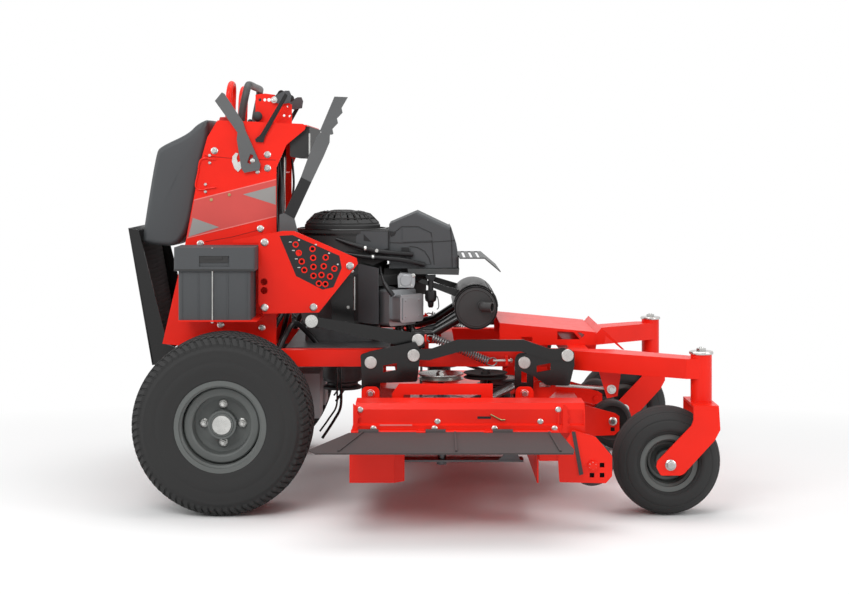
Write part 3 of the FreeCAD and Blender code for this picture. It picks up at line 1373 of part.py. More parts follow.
def lever_and_link():
    """The tall hand lever beside the height plate and the link that it pushes."""
    thick = size.link_plate
    pin = size.link_pin
    fit = size.pin_fit
    grip_foot = (119, 391)
    grip_top = (164, 494)
    waves = []
    for i in range(3):
        for share, dent in ((0.1, 3), (0.55, -7)):
            along = (i + share) / 3
            waves.append((grip_foot[0] + (grip_top[0] - grip_foot[0]) * along + dent,
                          grip_foot[1] + (grip_top[1] - grip_foot[1]) * along))
    lever = plate("XZ", [(-20, -12), (-53, 70), (-53, 129), (-37, 135), (17, 252), (41, 317), (70, 387),
                         (84, 399),
                         (80, 405), (127, 516), (171, 514), *reversed(waves), grip_foot, (112, 391),
                         (111, 366),
                         (92, 321), (51, 235), (-4, 116), (10, 60), (34, 0), (74, -214), (44, -232),
                         (22, -214)],
                  -size.lever_plane, thick, [(0, 0, size.lever_pin + fit)])
    foot_x = size.lever_foot_x - size.lever_pivot_x
    foot_z = size.lever_foot - size.lever_pivot
    foot = rod("Y", foot_x, -size.lift_plane - thick - 4, foot_z, pin,
               size.lift_plane + thick + 8 - size.lever_plane)
    head = rod("Y", foot_x, -size.lift_plane - thick - 10, foot_z, size.pin_head, 8)
    node(fused(lever, foot, head), "lift_lever", size.lever_pivot_x, 0, size.lever_pivot)
    run_x = size.rear_pivot_x + size.lift_horn_x - size.lever_foot_x
    run_z = size.pivot_height + size.lift_horn_rise - size.lever_foot
    play = size.link_play
    slot = [(run_x - pin - 2.5, run_z - pin - play), (run_x + pin + 2.5, run_z - pin - play),
            (run_x + pin + 2.5, run_z + pin + play), (run_x - pin - 2.5, run_z + pin + play)]
    bar = plate("XZ", [(0, 15), (run_x - 22, run_z + 22), (run_x - 22, run_z + pin + play + 6),
                       (run_x + 22, run_z + pin + play + 6), (run_x + 22, run_z - pin - play - 6),
                       (run_x - 22, run_z - pin - play - 6), (0, -15), (-15, 0)],
                -size.lift_plane - thick, thick, [(0, 0, pin + fit)], [slot])
    node(bar, "lift_link", size.lever_foot_x, 0, size.lever_foot)


def drag_rods():
    """The two stays that hold the deck fore and aft, hinged in the caster arms' brackets."""
    x = size.rail_front_x + 70
    z = size.post_top - 75 - 62
    run_x = size.drag_foot_x - x
    run_z = size.drag_foot - z
    rod_radius = size.link_pin * 0.75
    bar = shaped(pipe([(-12, size.drag_y, 0), (run_x / 2, size.drag_y, run_z / 2 + 0.5),
                       (run_x + 8, size.drag_y, run_z)],
                      rod_radius, 40))
    front_eye = rod("Y", 0, size.drag_y - 5, 0, size.hinge_pin * 1.7, 10)
    front_pin = rod("Y", 0, size.drag_y - 5, 0, size.hinge_pin - size.pin_fit,
                    size.rail_outer + 10 + size.heavy_plate + 6 - size.drag_y + 5)
    front_head = rod("Y", 0, size.rail_outer + 10 + size.heavy_plate + 1, 0, size.hinge_pin * 1.6, 6)
    rear_eye = rod("Y", run_x, size.drag_y - 5, run_z, size.hinge_pin * 1.5, 10)
    rear_pin = rod("Y", run_x, size.drag_y - 5, run_z, rod_radius, 24)
    node(both(fused(bar, front_eye, front_pin, front_head, rear_eye, rear_pin)), "drag_rods", x, 0, z)


def platform():
    """The folding platform: a flanged pan on two arms, with its hinge pin, and its rubber mat."""
    hx, hz = size.platform_hinge_x, size.platform_hinge
    half = size.platform_half
    sheet = size.platform_sheet
    top = (size.platform_top_x - hx, size.platform_top - hz)
    foot = (size.platform_foot_x - hx, size.platform_foot - hz)
    flange = plate("XZ", [(-24, -18), (14, -18), (14, 20), (-20, 34), (foot[0] + 52, foot[1] + 62),
                          (top[0] + 34, top[1] - 6), (top[0], top[1]), (foot[0], foot[1]),
                          (foot[0] + 20, foot[1] - 12)],
                   half - sheet * 2, sheet)
    pan = plate("XZ", [(top[0], top[1]), (foot[0], foot[1]), (foot[0] + sheet, foot[1]),
                       (top[0] + sheet, top[1])],
                -half + sheet * 2, (half - sheet * 2) * 2)
    reach = size.rail_outer - size.rail_width
    pin = rod("Y", 0, -reach, 0, size.hinge_pin, reach * 2)
    lean = (foot[0] - top[0]) / (top[1] - foot[1])
    node(fused(flange, mirrored(flange), pan, pin), "platform", hx, 0, hz)
    edge = 12
    mat_top = (top[0] + lean * edge + sheet, top[1] - edge)
    mat_foot = (foot[0] - lean * edge + sheet, foot[1] + edge)
    mat = plate("XZ", [mat_top, mat_foot, (mat_foot[0] + size.mat_thick, mat_foot[1]),
                       (mat_top[0] + size.mat_thick, mat_top[1])],
                -half + size.platform_flange + edge, (half - size.platform_flange - edge) * 2)
    node(mat, "platform_mat", hx, 0, hz)


drive_wheels()
casters()
frame()
caster_arms()
front_tunnel()
tower()
knee_pad()
controls()
side_boxes()
height_plate()
transaxles()
engine()
deck()
rollers()
spindles()
discharge()
lift()
platform()
doc.recompute()

faults = [item.Name for item in doc.Objects if "Invalid" in item.State or "Error" in item.State]
if faults:
    raise RuntimeError(f"features that failed: {faults}")
for item in nodes:
    if item.Shape.isNull() or not item.Shape.isValid():
        raise RuntimeError(f"{item.Label} has no valid shape")

os.makedirs("parts", exist_ok=True)
for item in nodes:
    item.Shape.exportStep(f"parts/{item.Label}.step")
print(f"{len(nodes)} sub-parts written")
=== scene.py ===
"""Looks of a stand-on mower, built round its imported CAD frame.

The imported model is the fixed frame. Every CAD node gets a procedural finish, and classes for
the tyres, fasteners, engine dressing and other sub-assemblies add pieces that ride on its bodies.
"""

import logging
import math
from collections.abc import Iterable
from dataclasses import dataclass
from enum import Enum

import bmesh
import bpy
import numpy as np
from mathutils import Matrix, Vector
from mathutils.geometry import tessellate_polygon


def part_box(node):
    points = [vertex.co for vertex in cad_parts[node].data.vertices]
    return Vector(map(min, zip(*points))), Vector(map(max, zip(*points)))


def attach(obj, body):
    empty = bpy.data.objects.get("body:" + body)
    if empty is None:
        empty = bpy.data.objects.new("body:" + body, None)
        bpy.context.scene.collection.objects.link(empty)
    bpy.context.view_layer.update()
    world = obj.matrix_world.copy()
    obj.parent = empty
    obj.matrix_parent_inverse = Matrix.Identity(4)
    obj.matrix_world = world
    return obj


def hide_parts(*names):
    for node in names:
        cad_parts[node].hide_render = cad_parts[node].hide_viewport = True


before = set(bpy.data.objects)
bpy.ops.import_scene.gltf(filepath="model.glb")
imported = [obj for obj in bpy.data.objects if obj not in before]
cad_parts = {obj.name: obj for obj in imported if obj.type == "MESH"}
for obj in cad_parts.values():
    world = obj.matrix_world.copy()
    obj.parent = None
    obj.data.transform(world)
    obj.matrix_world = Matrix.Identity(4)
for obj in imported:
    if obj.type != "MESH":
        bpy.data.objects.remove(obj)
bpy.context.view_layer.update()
log = logging.getLogger("mower")

MM = 0.001
MIDLINE = float(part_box("drive_tyre_right")[0].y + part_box("drive_tyre_left")[1].y) / 2
Array = np.ndarray
Point = tuple[float, float, float]
Outline = list[tuple[float, float]]


# ---------------------------------------------------------------- shader graph

class Value:
    """A shader socket that takes part in Python arithmetic through Math nodes."""

    def __init__(self, graph: "Graph", socket: bpy.types.NodeSocket) -> None:
        self.graph = graph
        self.socket = socket

    def _math(self, operation: str, other: "Value | float", flip: bool = False) -> "Value":
        first, second = (other, self) if flip else (self, other)
        return self.graph.add("ShaderNodeMath", {"operation": operation}, {0: first, 1: second})

    def __add__(self, other: "Value | float") -> "Value":
        return self._math("ADD", other)

    __radd__ = __add__

    def __sub__(self, other: "Value | float") -> "Value":
        return self._math("SUBTRACT", other)

    def __rsub__(self, other: float) -> "Value":
        return self._math("SUBTRACT", other, flip=True)

    def __mul__(self, other: "Value | float") -> "Value":
        return self._math("MULTIPLY", other)

    __rmul__ = __mul__

    def clamped(self, low: float, high: float) -> "Value":
        """This value spread from low..high to 0..1 and clamped.

        Args:
            low: the input that becomes 0.
            high: the input that becomes 1.
        Returns:
            the mapped value.
        """
        return self.graph.add("ShaderNodeMapRange", {"clamp": True},
                              {"Value": self, "From Min": low, "From Max": high}, "Result")


class Graph:
    """The node tree of one new material."""

    def __init__(self, name: str) -> None:
        self.material = bpy.data.materials.new(name)
        self.material.use_nodes = True
        self.tree = self.material.node_tree
        self.tree.nodes.clear()

    @classmethod
    def of(cls, tree: bpy.types.NodeTree) -> "Graph":
        """A graph over a tree that is there already, such as the world's."""
        graph = cls.__new__(cls)
        graph.tree = tree
        tree.nodes.clear()
        return graph

    def add(self, kind: str, settings: dict | None = None, inputs: dict | None = None,
            output: str | int = 0) -> Value:
        """Make a node: its settings first, then the values or links of its sockets.

        Args:
            kind: the node's bl_idname.
            settings: attributes set before the sockets.
            inputs: values or links by socket name or index.
            output: the socket to return.
        Returns:
            the chosen output as a Value.
        """
        node = self.tree.nodes.new(kind)
        for name, value in (settings or {}).items():
            setattr(node, name, value)
        for name, value in (inputs or {}).items():
            if isinstance(value, Value):
                self.tree.links.new(value.socket, node.inputs[name])
            else:
                node.inputs[name].default_value = value
        return Value(self, node.outputs[output] if len(node.outputs) else None)

    def position(self) -> Value:
        """The object coordinates, in metres."""
        return self.add("ShaderNodeTexCoord", output="Object")

    def noise(self, scale: float, detail: float = 3.0, rough: float = 0.5) -> Value:
        """Fractal noise of so many waves a metre."""
        return self.add("ShaderNodeTexNoise", {}, {"Vector": self.position(), "Scale": scale,
                                                   "Detail": detail, "Roughness": rough}, "Fac")

    def cells(self, scale: float) -> Value:
        """The distance to the nearest cell centre of a Voronoi pattern."""
        return self.add("ShaderNodeTexVoronoi", {}, {"Vector": self.position(), "Scale": scale},
                        "Distance")

    def mix(self, factor: Value, first: tuple, second: tuple) -> Value:
        """Blend two colours."""
        return self.add("ShaderNodeMix", {"data_type": "RGBA"}, {0: factor, 6: first, 7: second}, 2)

    def bump(self, height: Value, strength: float, distance: float, under: Value | None = None) -> Value:
        """A normal disturbed by a height."""
        inputs = {"Height": height, "Strength": strength, "Distance": distance}
        if under is not None:
            inputs["Normal"] = under
        return self.add("ShaderNodeBump", {}, inputs)

    def surface(self, **inputs) -> bpy.types.Material:
        """Close the graph with a Principled shader.

        Args:
            inputs: its sockets by name, with underscores for spaces.
        Returns:
            the finished material.
        """
        named = {name.replace("_", " "): value for name, value in inputs.items()}
        shader = self.add("ShaderNodeBsdfPrincipled", {}, named)
        self.add("ShaderNodeOutputMaterial", {}, {"Surface": shader})
        return self.material


@dataclass(frozen=True)
class Finish:
    """Base of every finish: a name, the record's material slot, a linear colour and a roughness."""

    name: str
    slot: str
    colour: tuple[float, float, float]
    roughness: float

    def build(self) -> bpy.types.Material:
        """The material, made once and then shared."""
        found = bpy.data.materials.get(self.name)
        return found or self.graph(Graph(self.name))

    def graph(self, graph: Graph) -> bpy.types.Material:
        """Fill the graph; each finish has its own."""
        raise NotImplementedError

    def drifting(self, wave: Value, low: float, high: float, dark: float, pale: float) -> Value:
        """The finish's colour, drifting between two gains with a wave.

        Args:
            wave: the pattern.
            low: where the darker shade ends.
            high: where the paler shade starts.
            dark: the gain of the darker shade.
            pale: the gain of the paler shade.
        Returns:
            the colour.
        """
        shades = [(*[min(1.0, channel * gain) for channel in self.colour], 1.0) for gain in (dark, pale)]
        return wave.graph.mix(wave.clamped(low, high), *shades)


@dataclass(frozen=True)
class Powder(Finish):
    """Powder coat: orange peel under a clear coat, with faint handling marks."""

    coat: float = 0.06
    shine: float = 0.2
    peel: float = 620.0
    peel_depth: float = 0.00018

    def graph(self, graph: Graph) -> bpy.types.Material:
        """Colour drifts slowly; roughness follows fine smears."""
        colour = self.drifting(graph.noise(5.0, 2.0), 0.35, 0.7, 0.93, 1.05)
        smears = graph.noise(38.0, 4.0, 0.65)
        normal = graph.bump(graph.noise(self.peel, 2.0), 0.35, self.peel_depth)
        rough = smears.clamped(0.3, 0.8) * 0.08 + (self.roughness - 0.04)
        return graph.surface(Base_Color=colour, Roughness=rough, Coat_Weight=self.coat,
                             Coat_Roughness=0.12, Specular_IOR_Level=self.shine, Normal=normal)


@dataclass(frozen=True)
class Moulded(Finish):
    """Textured moulded plastic: fine pits, with scuffs that shine a little."""

    grain: float = 900.0
    depth: float = 0.0003

    def graph(self, graph: Graph) -> bpy.types.Material:
        """Pits come from a cell pattern, scuffs from stretched noise."""
        scuffs = graph.noise(22.0, 5.0, 0.7)
        pits = graph.cells(self.grain)
        colour = self.drifting(scuffs, 0.4, 0.75, 0.9, 1.18)
        rough = (1 - scuffs.clamped(0.55, 0.8) * 0.22) * self.roughness
        return graph.surface(Base_Color=colour, Roughness=rough, Specular_IOR_Level=0.3,
                             Normal=graph.bump(pits, 0.5, self.depth))


@dataclass(frozen=True)
class TyreRubber(Finish):
    """Tyre rubber: a dull bloom over black."""

    bloom: float = 1.6

    def graph(self, graph: Graph) -> bpy.types.Material:
        """Bloom follows broad noise, fine bump follows dense noise."""
        broad = graph.noise(9.0, 4.0, 0.6)
        fine = graph.noise(420.0, 3.0, 0.6)
        colour = self.drifting(broad, 0.35, 0.72, 1.0, self.bloom)
        rough = broad.clamped(0.3, 0.8) * 0.14 + self.roughness
        return graph.surface(Base_Color=colour, Roughness=rough, Specular_IOR_Level=0.25,
                             Normal=graph.bump(fine, 0.45, 0.0004))


@dataclass(frozen=True)
class Metal(Finish):
    """Bare metal: cast or brushed grain, with darker patches."""

    metallic: float = 1.0
    grain: float = 260.0
    depth: float = 0.0003

    def graph(self, graph: Graph) -> bpy.types.Material:
        """Patches darken the colour; grain roughens and bumps it."""
        patches = graph.noise(16.0, 4.0, 0.6)
        grain = graph.noise(self.grain, 4.0, 0.6)
        colour = self.drifting(patches, 0.35, 0.7, 0.72, 1.08)
        rough = grain.clamped(0.3, 0.7) * 0.16 + (self.roughness - 0.08)
        return graph.surface(Base_Color=colour, Roughness=rough, Metallic=self.metallic,
                             Normal=graph.bump(grain, 0.4, self.depth))


@dataclass(frozen=True)
class Vinyl(Finish):
    """Pad skin: leather-grain cells with fine creases."""

    grain: float = 330.0

    def graph(self, graph: Graph) -> bpy.types.Material:
        """Cells give the grain and their borders the creases."""
        cells = graph.cells(self.grain)
        creases = graph.noise(70.0, 5.0, 0.6)
        colour = self.drifting(graph.noise(6.0, 3.0), 0.35, 0.7, 0.9, 1.12)
        normal = graph.bump(cells, 0.4, 0.0005, graph.bump(creases, 0.15, 0.0012))
        rough = creases.clamped(0.3, 0.7) * 0.1 + (self.roughness - 0.05)
        return graph.surface(Base_Color=colour, Roughness=rough, Specular_IOR_Level=0.3, Normal=normal)


RED = Powder("powder_red", "paint_red", (0.86, 0.017, 0.006), 0.38)
RED_DARK = Powder("powder_red_shadow", "paint_red", (0.40, 0.016, 0.012), 0.4)
CHARCOAL = Powder("powder_charcoal", "paint_charcoal", (0.075, 0.078, 0.078), 0.5, peel=900.0)
RIM_GREY = Powder("powder_rim_grey", "paint_charcoal", (0.120, 0.128, 0.124), 0.45, peel=900.0)
BLACK_PAINT = Powder("paint_black", "paint_black", (0.016, 0.016, 0.016), 0.34)
MUFFLER = Powder("muffler_black", "paint_black", (0.048, 0.047, 0.047), 0.42)
# Black of the scale patch and the lever sleeve; also painted shade in the slot, vent, port and shield
# holes.
SCALE_BLACK_AND_SHADE = Powder("scale_black_and_shade", "paint_black", (0.022, 0.022, 0.023), 0.5)
GREY_PLATE = Powder("paint_grey", "plastic_grey", (0.112, 0.115, 0.117), 0.5)
TRANSAXLE = Powder("paint_pale_grey", "cast_aluminium", (0.36, 0.37, 0.38), 0.5)
STRIPE = Powder("stripe_pale_red", "paint_red", (0.62, 0.085, 0.075), 0.4)
# Pale edges of the stripe's print; also a painted highlight along the chute channel's slit.
STRIPE_EDGE_AND_HIGHLIGHT = Powder("stripe_edge", "paint_red", (0.80, 0.20, 0.18), 0.4)
STRIPE_GREY = Powder("stripe_grey", "paint_charcoal", (0.30, 0.29, 0.28), 0.45)
SEAM = Powder("seam_shadow", "paint_red", (0.30, 0.012, 0.010), 0.5)
MARK_WHITE = Powder("mark_white", "plastic_grey", (0.62, 0.62, 0.61), 0.5)
PAD_SKIN = Vinyl("pad_skin", "pad_skin", (0.070, 0.072, 0.074), 0.6)
GRIP = TyreRubber("grip_rubber", "rubber_black", (0.016, 0.016, 0.017), 0.7, bloom=1.3)
RUBBER = TyreRubber("tyre_rubber", "tyre_rubber", (0.030, 0.030, 0.030), 0.6)
MAT_RUBBER = TyreRubber("mat_rubber", "rubber_black", (0.016, 0.016, 0.016), 0.7, bloom=1.3)
CHUTE = TyreRubber("chute_rubber", "rubber_black", (0.055, 0.045, 0.045), 0.6, bloom=1.2)
# Also the dark crease lines on the air cleaner, which are painted shade.
PLASTIC = Moulded("plastic_black", "plastic_black", (0.032, 0.033, 0.034), 0.5)
PLASTIC_GLOSS = Moulded("plastic_hose", "rubber_black", (0.014, 0.014, 0.015), 0.32, grain=500.0,
                        depth=0.0001)
PLASTIC_GREY = Moulded("plastic_grey", "plastic_grey", (0.092, 0.094, 0.096), 0.55)
ALUMINIUM = Metal("cast_aluminium", "cast_aluminium", (0.42, 0.43, 0.44), 0.45, metallic=0.85)
ENGINE_GREY = Metal("engine_casting", "cast_aluminium", (0.10, 0.102, 0.105), 0.5, metallic=0.6)
ZINC = Metal("zinc_plate", "steel_plated", (0.62, 0.62, 0.60), 0.3, grain=500.0, depth=0.0001)
BRASS = Metal("brass_rivet", "steel_plated", (0.50, 0.38, 0.18), 0.35, grain=500.0, depth=0.0001)
SPRING = Metal("spring_steel", "steel_plated", (0.22, 0.22, 0.22), 0.35, grain=500.0, depth=0.0001)
BLADE = Metal("blade_steel", "blade_steel", (0.07, 0.07, 0.073), 0.42, metallic=0.7)


def pair(*stems: str) -> tuple[str, ...]:
    """The right and left node of each stem."""
    return tuple(f"{stem}_{side}" for stem in stems for side in ("right", "left"))


class Skin(Enum):
    """Which finish each CAD node takes."""

    RED = (RED, (*pair("caster_fork"), "frame_rails", "caster_arms", "front_tunnel", "tower_sides",
                 "tower_shell", "red_loops", "instrument_panel", "height_plate", "deck_shell"))
    CHARCOAL = (CHARCOAL, ("upper_bar", *pair("drive_lever"), "heat_guard"))
    RIM = (RIM_GREY, pair("drive_rim", "caster_rim"))
    GREY = (GREY_PLATE, ("lift_lever", "brake_lever"))
    BLACK = (BLACK_PAINT, ("exhaust_pipes", "platform", "rear_crank", "front_crank",
                           "long_links", "lift_link", "rear_hangers", "front_hangers",
                           "spindle_housings"))
    MUFFLER = (MUFFLER, ("muffler",))
    CHUTE = (CHUTE, ("chute",))
    TRANSAXLE = (TRANSAXLE, ("transaxles",))
    ZINC = (ZINC, ("drag_rods",))
    RUBBER = (RUBBER, pair("drive_tyre", "caster_tyre"))
    MAT = (MAT_RUBBER, ("platform_mat", "deck_belt"))
    PLASTIC = (PLASTIC, ("blower_housing", "fan_screen", "console_nose", "fuel_tank",
                         *pair("corner_wheel", "nose_wheel")))
    PLASTIC_GREY = (PLASTIC_GREY, ("battery_box", "battery_lid", "air_cleaner"))
    ENGINE = (ENGINE_GREY, ("engine_block",))
    ALUMINIUM = (ALUMINIUM, ("cylinders",))
    BLADE = (BLADE, ("blade_middle", "spindle_middle", *pair("blade", "spindle")))
    PAD = (PAD_SKIN, ("knee_pad",))


def dress_nodes() -> None:
    """Give every CAD node its finish."""
    for skin in Skin:
        finish, names = skin.value
        for name in names:
            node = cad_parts[name]
            node.data.materials.clear()
            node.data.materials.append(finish.build())


# ---------------------------------------------------------------- surfaces

FULL_TURN = 2 * np.pi
COIL_STEPS = 12
HOLE_STEPS = 18
# Edges over these angles, in degrees, stay sharp.
SHARP = 32.0
SHARP_TUBE = 40.0
SHARP_PAD = 50.0
# Points nearer than this, in metres, become one.
WELD = 1e-6


@dataclass
class Surface:
    """A mesh in the making, in millimetres, with Y measured from the machine's midline.

    Attributes:
        points: the vertices, one row each.
        faces: arrays of vertex indices, one array for each number of corners.
    """

    points: Array
    faces: list[Array]

    def moved(self, x: float = 0.0, y: float = 0.0, z: float = 0.0) -> "Surface":
        """The same surface shifted."""
        return Surface(self.points + np.array((x, y, z)), self.faces)

    def mirrored(self) -> "Surface":
        """The same surface on the other side of the midline, its faces turned back outwards."""
        return Surface(self.points * (1, -1, 1), [face[:, ::-1] for face in self.faces])

    def both(self) -> "Surface":
        """The surface and its mirror image together."""
        return joined([self, self.mirrored()])

    def turned(self, axis: str, degrees: float) -> "Surface":
        """The surface turned about an axis through the origin.

        Args:
            axis: X, Y or Z.
            degrees: the right-handed angle.
        Returns:
            the turned surface: p' = R p.
        """
        turn = np.array(Matrix.Rotation(math.radians(degrees), 3, axis))
        return Surface(self.points @ turn.T, self.faces)


def joined(parts: Iterable[Surface]) -> Surface:
    """Several surfaces as one, each one's indices shifted past those before it."""
    points, faces, start = [], [], 0
    for part in parts:
        points.append(part.points)
        faces += [face + start for face in part.faces]
        start += len(part.points)
    return Surface(np.concatenate(points), faces)


def grid(points: Array, ring_u: bool = False, ring_v: bool = False) -> Surface:
    """Quads between neighbouring samples of a surface p(u, v).

    Args:
        points: samples as rows of u and columns of v.
        ring_u: whether the last row joins the first.
        ring_v: whether the last column joins the first.
    Returns:
        the surface.
    """
    rows, columns = points.shape[:2]
    index = np.arange(rows * columns).reshape(rows, columns)
    if ring_u:
        index = np.vstack([index, index[:1]])
    if ring_v:
        index = np.hstack([index, index[:, :1]])
    quads = np.stack([index[:-1, :-1], index[1:, :-1], index[1:, 1:], index[:-1, 1:]], -1)
    return Surface(points.reshape(-1, 3), [quads.reshape(-1, 4)])


# The columns of a lathed point by axis: along it, then the two across it.
ORDER = {"X": (0, 1, 2), "Y": (1, 2, 0), "Z": (2, 0, 1)}
# The columns of a plate's point by axis: the outline's two, then the one along the axis.
FLAT = {"X": (1, 2, 0), "Y": (0, 2, 1), "Z": (0, 1, 2)}


def lathe(profile: Outline | Array, axis: str = "Y", centre: Point = (0, 0, 0),
          steps: int = 40, closed: bool = False) -> Surface:
    """A profile carried round an axis: p(t, s) = c + a(s) e1 + r(s) (cos t e2 + sin t e3).

    Args:
        profile: pairs of distance along the axis and radius.
        axis: X, Y or Z.
        centre: the origin on the axis.
        steps: samples of the full turn.
        closed: whether the profile's end joins its start.
    Returns:
        the surface of revolution.
    """
    along, radius = np.asarray(profile, float).T
    turn = np.linspace(0, FULL_TURN, steps, endpoint=False)[:, None]
    points = np.zeros((steps, len(along), 3))
    first, second, third = ORDER[axis]
    points[..., first] = along
    points[..., second] = radius * np.cos(turn)
    points[..., third] = radius * np.sin(turn)
    return grid(points + np.array(centre), True, closed)


def slab(outline: Outline | Array, low: float, high: float, axis: str = "Y") -> Surface:
    """A flat plate: its outline, square to an axis, carried from low to high.

    Args:
        outline: corners in the plane of the two other axes.
        low: where the plate starts along the axis.
        high: where it ends.
        axis: X, Y or Z.
    Returns:
        the closed plate.
    """
    outline = np.asarray(outline, float)
    count = len(outline)
    points = np.zeros((2, count, 3))
    first, second, third = FLAT[axis]
    points[..., first] = outline[:, 0]
    points[..., second] = outline[:, 1]
    points[0, :, third] = low
    points[1, :, third] = high
    wall = grid(points, False, True)
    loop = np.arange(count)[None]
    return Surface(wall.points, wall.faces + [loop, loop[:, ::-1] + count])


def block(low: Point, high: Point) -> Surface:
    """A six-sided bar between two corners."""
    return slab([(low[0], low[1]), (high[0], low[1]), (high[0], high[1]), (low[0], high[1])],
                low[2], high[2], "Z")


def curve(knots: list[Point], count: int = 40) -> Array:
    """A Catmull-Rom curve through knots: a cubic in t on each span, with tangents (next - before) / 2.

    Args:
        knots: the points that it passes.
        count: how many samples it gives.
    Returns:
        the samples, one row each.
    """
    knots = np.asarray(knots, float)
    ends = np.vstack([2 * knots[0] - knots[1], knots, 2 * knots[-1] - knots[-2]])
    spot = np.linspace(0, len(knots) - 1, count)
    span = np.minimum(spot.astype(int), len(knots) - 2)
    t = (spot - span)[:, None]
    before, here, there, after = (ends[span + step] for step in range(4))
    return here + 0.5 * t * (there - before + t * (2 * before - 5 * here + 4 * there - after
                                                   + t * (3 * (here - there) + after - before)))


def tube(path: list[Point] | Array, radius: float | Array, sides: int = 10,
         closed: bool = False) -> Surface:
    """A ring carried along a path: p(s, t) = c(s) + r (cos t n(s) + sin t b(s)), capped at its ends.

    Args:
        path: the centre line.
        radius: of the ring, constant or one value for each sample.
        sides: samples round the ring.
        closed: whether the path is a loop.
    Returns:
        the tube.
    """
    path = np.asarray(path, float)
    if closed:
        along = np.roll(path, -1, 0) - np.roll(path, 1, 0)
    else:
        along = np.gradient(path, axis=0)
    along /= np.linalg.norm(along, axis=1, keepdims=True)
    lead = np.eye(3)[np.argmin(np.abs(along).max(0))]
    normal = np.cross(along, lead)
    normal /= np.linalg.norm(normal, axis=1, keepdims=True)
    other = np.cross(along, normal)
    turn = np.linspace(0, FULL_TURN, sides, endpoint=False)[None, :, None]
    reach = np.broadcast_to(np.asarray(radius, float), (len(path),))[:, None, None]
    points = path[:, None] + reach * (np.cos(turn) * normal[:, None] + np.sin(turn) * other[:, None])
    skin = grid(points, closed, True)
    if closed:
        return skin
    loop = np.arange(sides)[None]
    return Surface(skin.points, skin.faces + [loop, loop[:, ::-1] + (len(path) - 1) * sides])


def pipe(knots: list[Point], count: int, radius: float | Array, sides: int) -> Surface:
    """A tube along a smooth curve through knots; the arguments are those of curve and tube."""
    return tube(curve(knots, count), radius, sides)


def band(span: float, inner: float, outer: float, axis: str, centre: Point, steps: int) -> Surface:
    """A flat ring of a rectangular section, carried round an axis.

    Args:
        span: its width along the axis, from the centre onwards.
        inner: its inner radius.
        outer: its outer radius.
        axis: X, Y or Z.
        centre: where it starts on the axis.
        steps: samples of the full turn.
    Returns:
        the closed ring.
    """
    return lathe([(0, inner), (span, inner), (span, outer), (0, outer)], axis, centre, steps, True)


def coil(start: Point, end: Point, radius: float, wire: float, turns: int) -> Surface:
    """A coil spring: p(t) = a + t (b - a) + r (cos 2pi n t u + sin 2pi n t v), carried as a tube."""
    start, end = np.array(start, float), np.array(end, float)
    axis = (end - start) / np.linalg.norm(end - start)
    u = np.cross(axis, (0, 1, 0))
    u /= np.linalg.norm(u)
    v = np.cross(axis, u)
    t = np.linspace(0, 1, turns * COIL_STEPS)[:, None]
    angle = FULL_TURN * turns * t
    return tube(start + t * (end - start) + radius * (np.cos(angle) * u + np.sin(angle) * v), wire, 6)


def screw(x: float, y: float, z: float, size: float, axis: str = "Y", side: int = -1) -> Surface:
    """A six-sided screw head with a flange: a lathed flange under a six-step lathed crown.

    Args:
        x: of the seat.
        y: of the seat.
        z: of the seat.
        size: half the width of the flange.
        axis: the screw's axis.
        side: which way it points along the axis.
    Returns:
        the head.
    """
    tall = size * 0.75
    flange = [(0, 0), (0, size), (side * tall * 0.16, size), (side * tall * 0.34, size * 0.8),
              (side * tall * 0.34, 0)]
    crown = [(side * tall * 0.2, size * 0.78), (side * tall * 0.85, size * 0.76),
             (side * tall, size * 0.62), (side * tall, 0)]
    return joined([lathe(flange, axis, (x, y, z), 20), lathe(crown, axis, (x, y, z), 6)])


def screws(spots: list[Point], size: float, axis: str = "Y", side: int = -1) -> Surface:
    """One screw head at each spot."""
    return joined([screw(*spot, size, axis, side) for spot in spots])


def disc(x: float, y: float, z: float, radius: float, tall: float, axis: str = "Y",
         steps: int = 32) -> Surface:
    """A flat round head with a small chamfer, standing up from its seat by a signed height."""
    chamfer = min(abs(tall) * 0.3, 1.2)
    top = tall - math.copysign(chamfer, tall)
    return lathe([(0, 0), (0, radius), (top, radius), (tall, radius - chamfer), (tall, 0)], axis,
                 (x, y, z), steps)


def pierced(outline: Outline, holes: list[Point], low: float, high: float) -> Surface:
    """A thin sheet in an XZ plane with round holes: its face is filled between outline and hole rings.

    Args:
        outline: corners as X and Z.
        holes: each hole's X, Z and radius.
        low: the sheet's lower Y.
        high: its upper Y.
    Returns:
        the sheet with both faces and its rims.
    """
    turn = np.linspace(0, FULL_TURN, HOLE_STEPS, endpoint=False)
    loops = [np.asarray(outline, float)]
    loops += [np.stack([x + radius * np.cos(turn), z + radius * np.sin(turn)], 1) for x, z,
              radius in holes]
    flat = tessellate_polygon([[Vector((x, z, 0)) for x, z in loop] for loop in loops])
    ring = np.concatenate(loops)
    count = len(ring)
    points = np.stack([ring[:, 0], np.full(count, low), ring[:, 1]], 1)
    both = np.vstack([points, points + (0, high - low, 0)])
    triangles = np.array(flat)
    rims, start = [], 0
    for loop in loops:
        here = np.arange(len(loop)) + start
        there = np.roll(here, -1)
        rims.append(np.stack([here, there, there + count, here + count], 1))
        start += len(loop)
    return Surface(both, [triangles, triangles[:, ::-1] + count, np.concatenate(rims)])


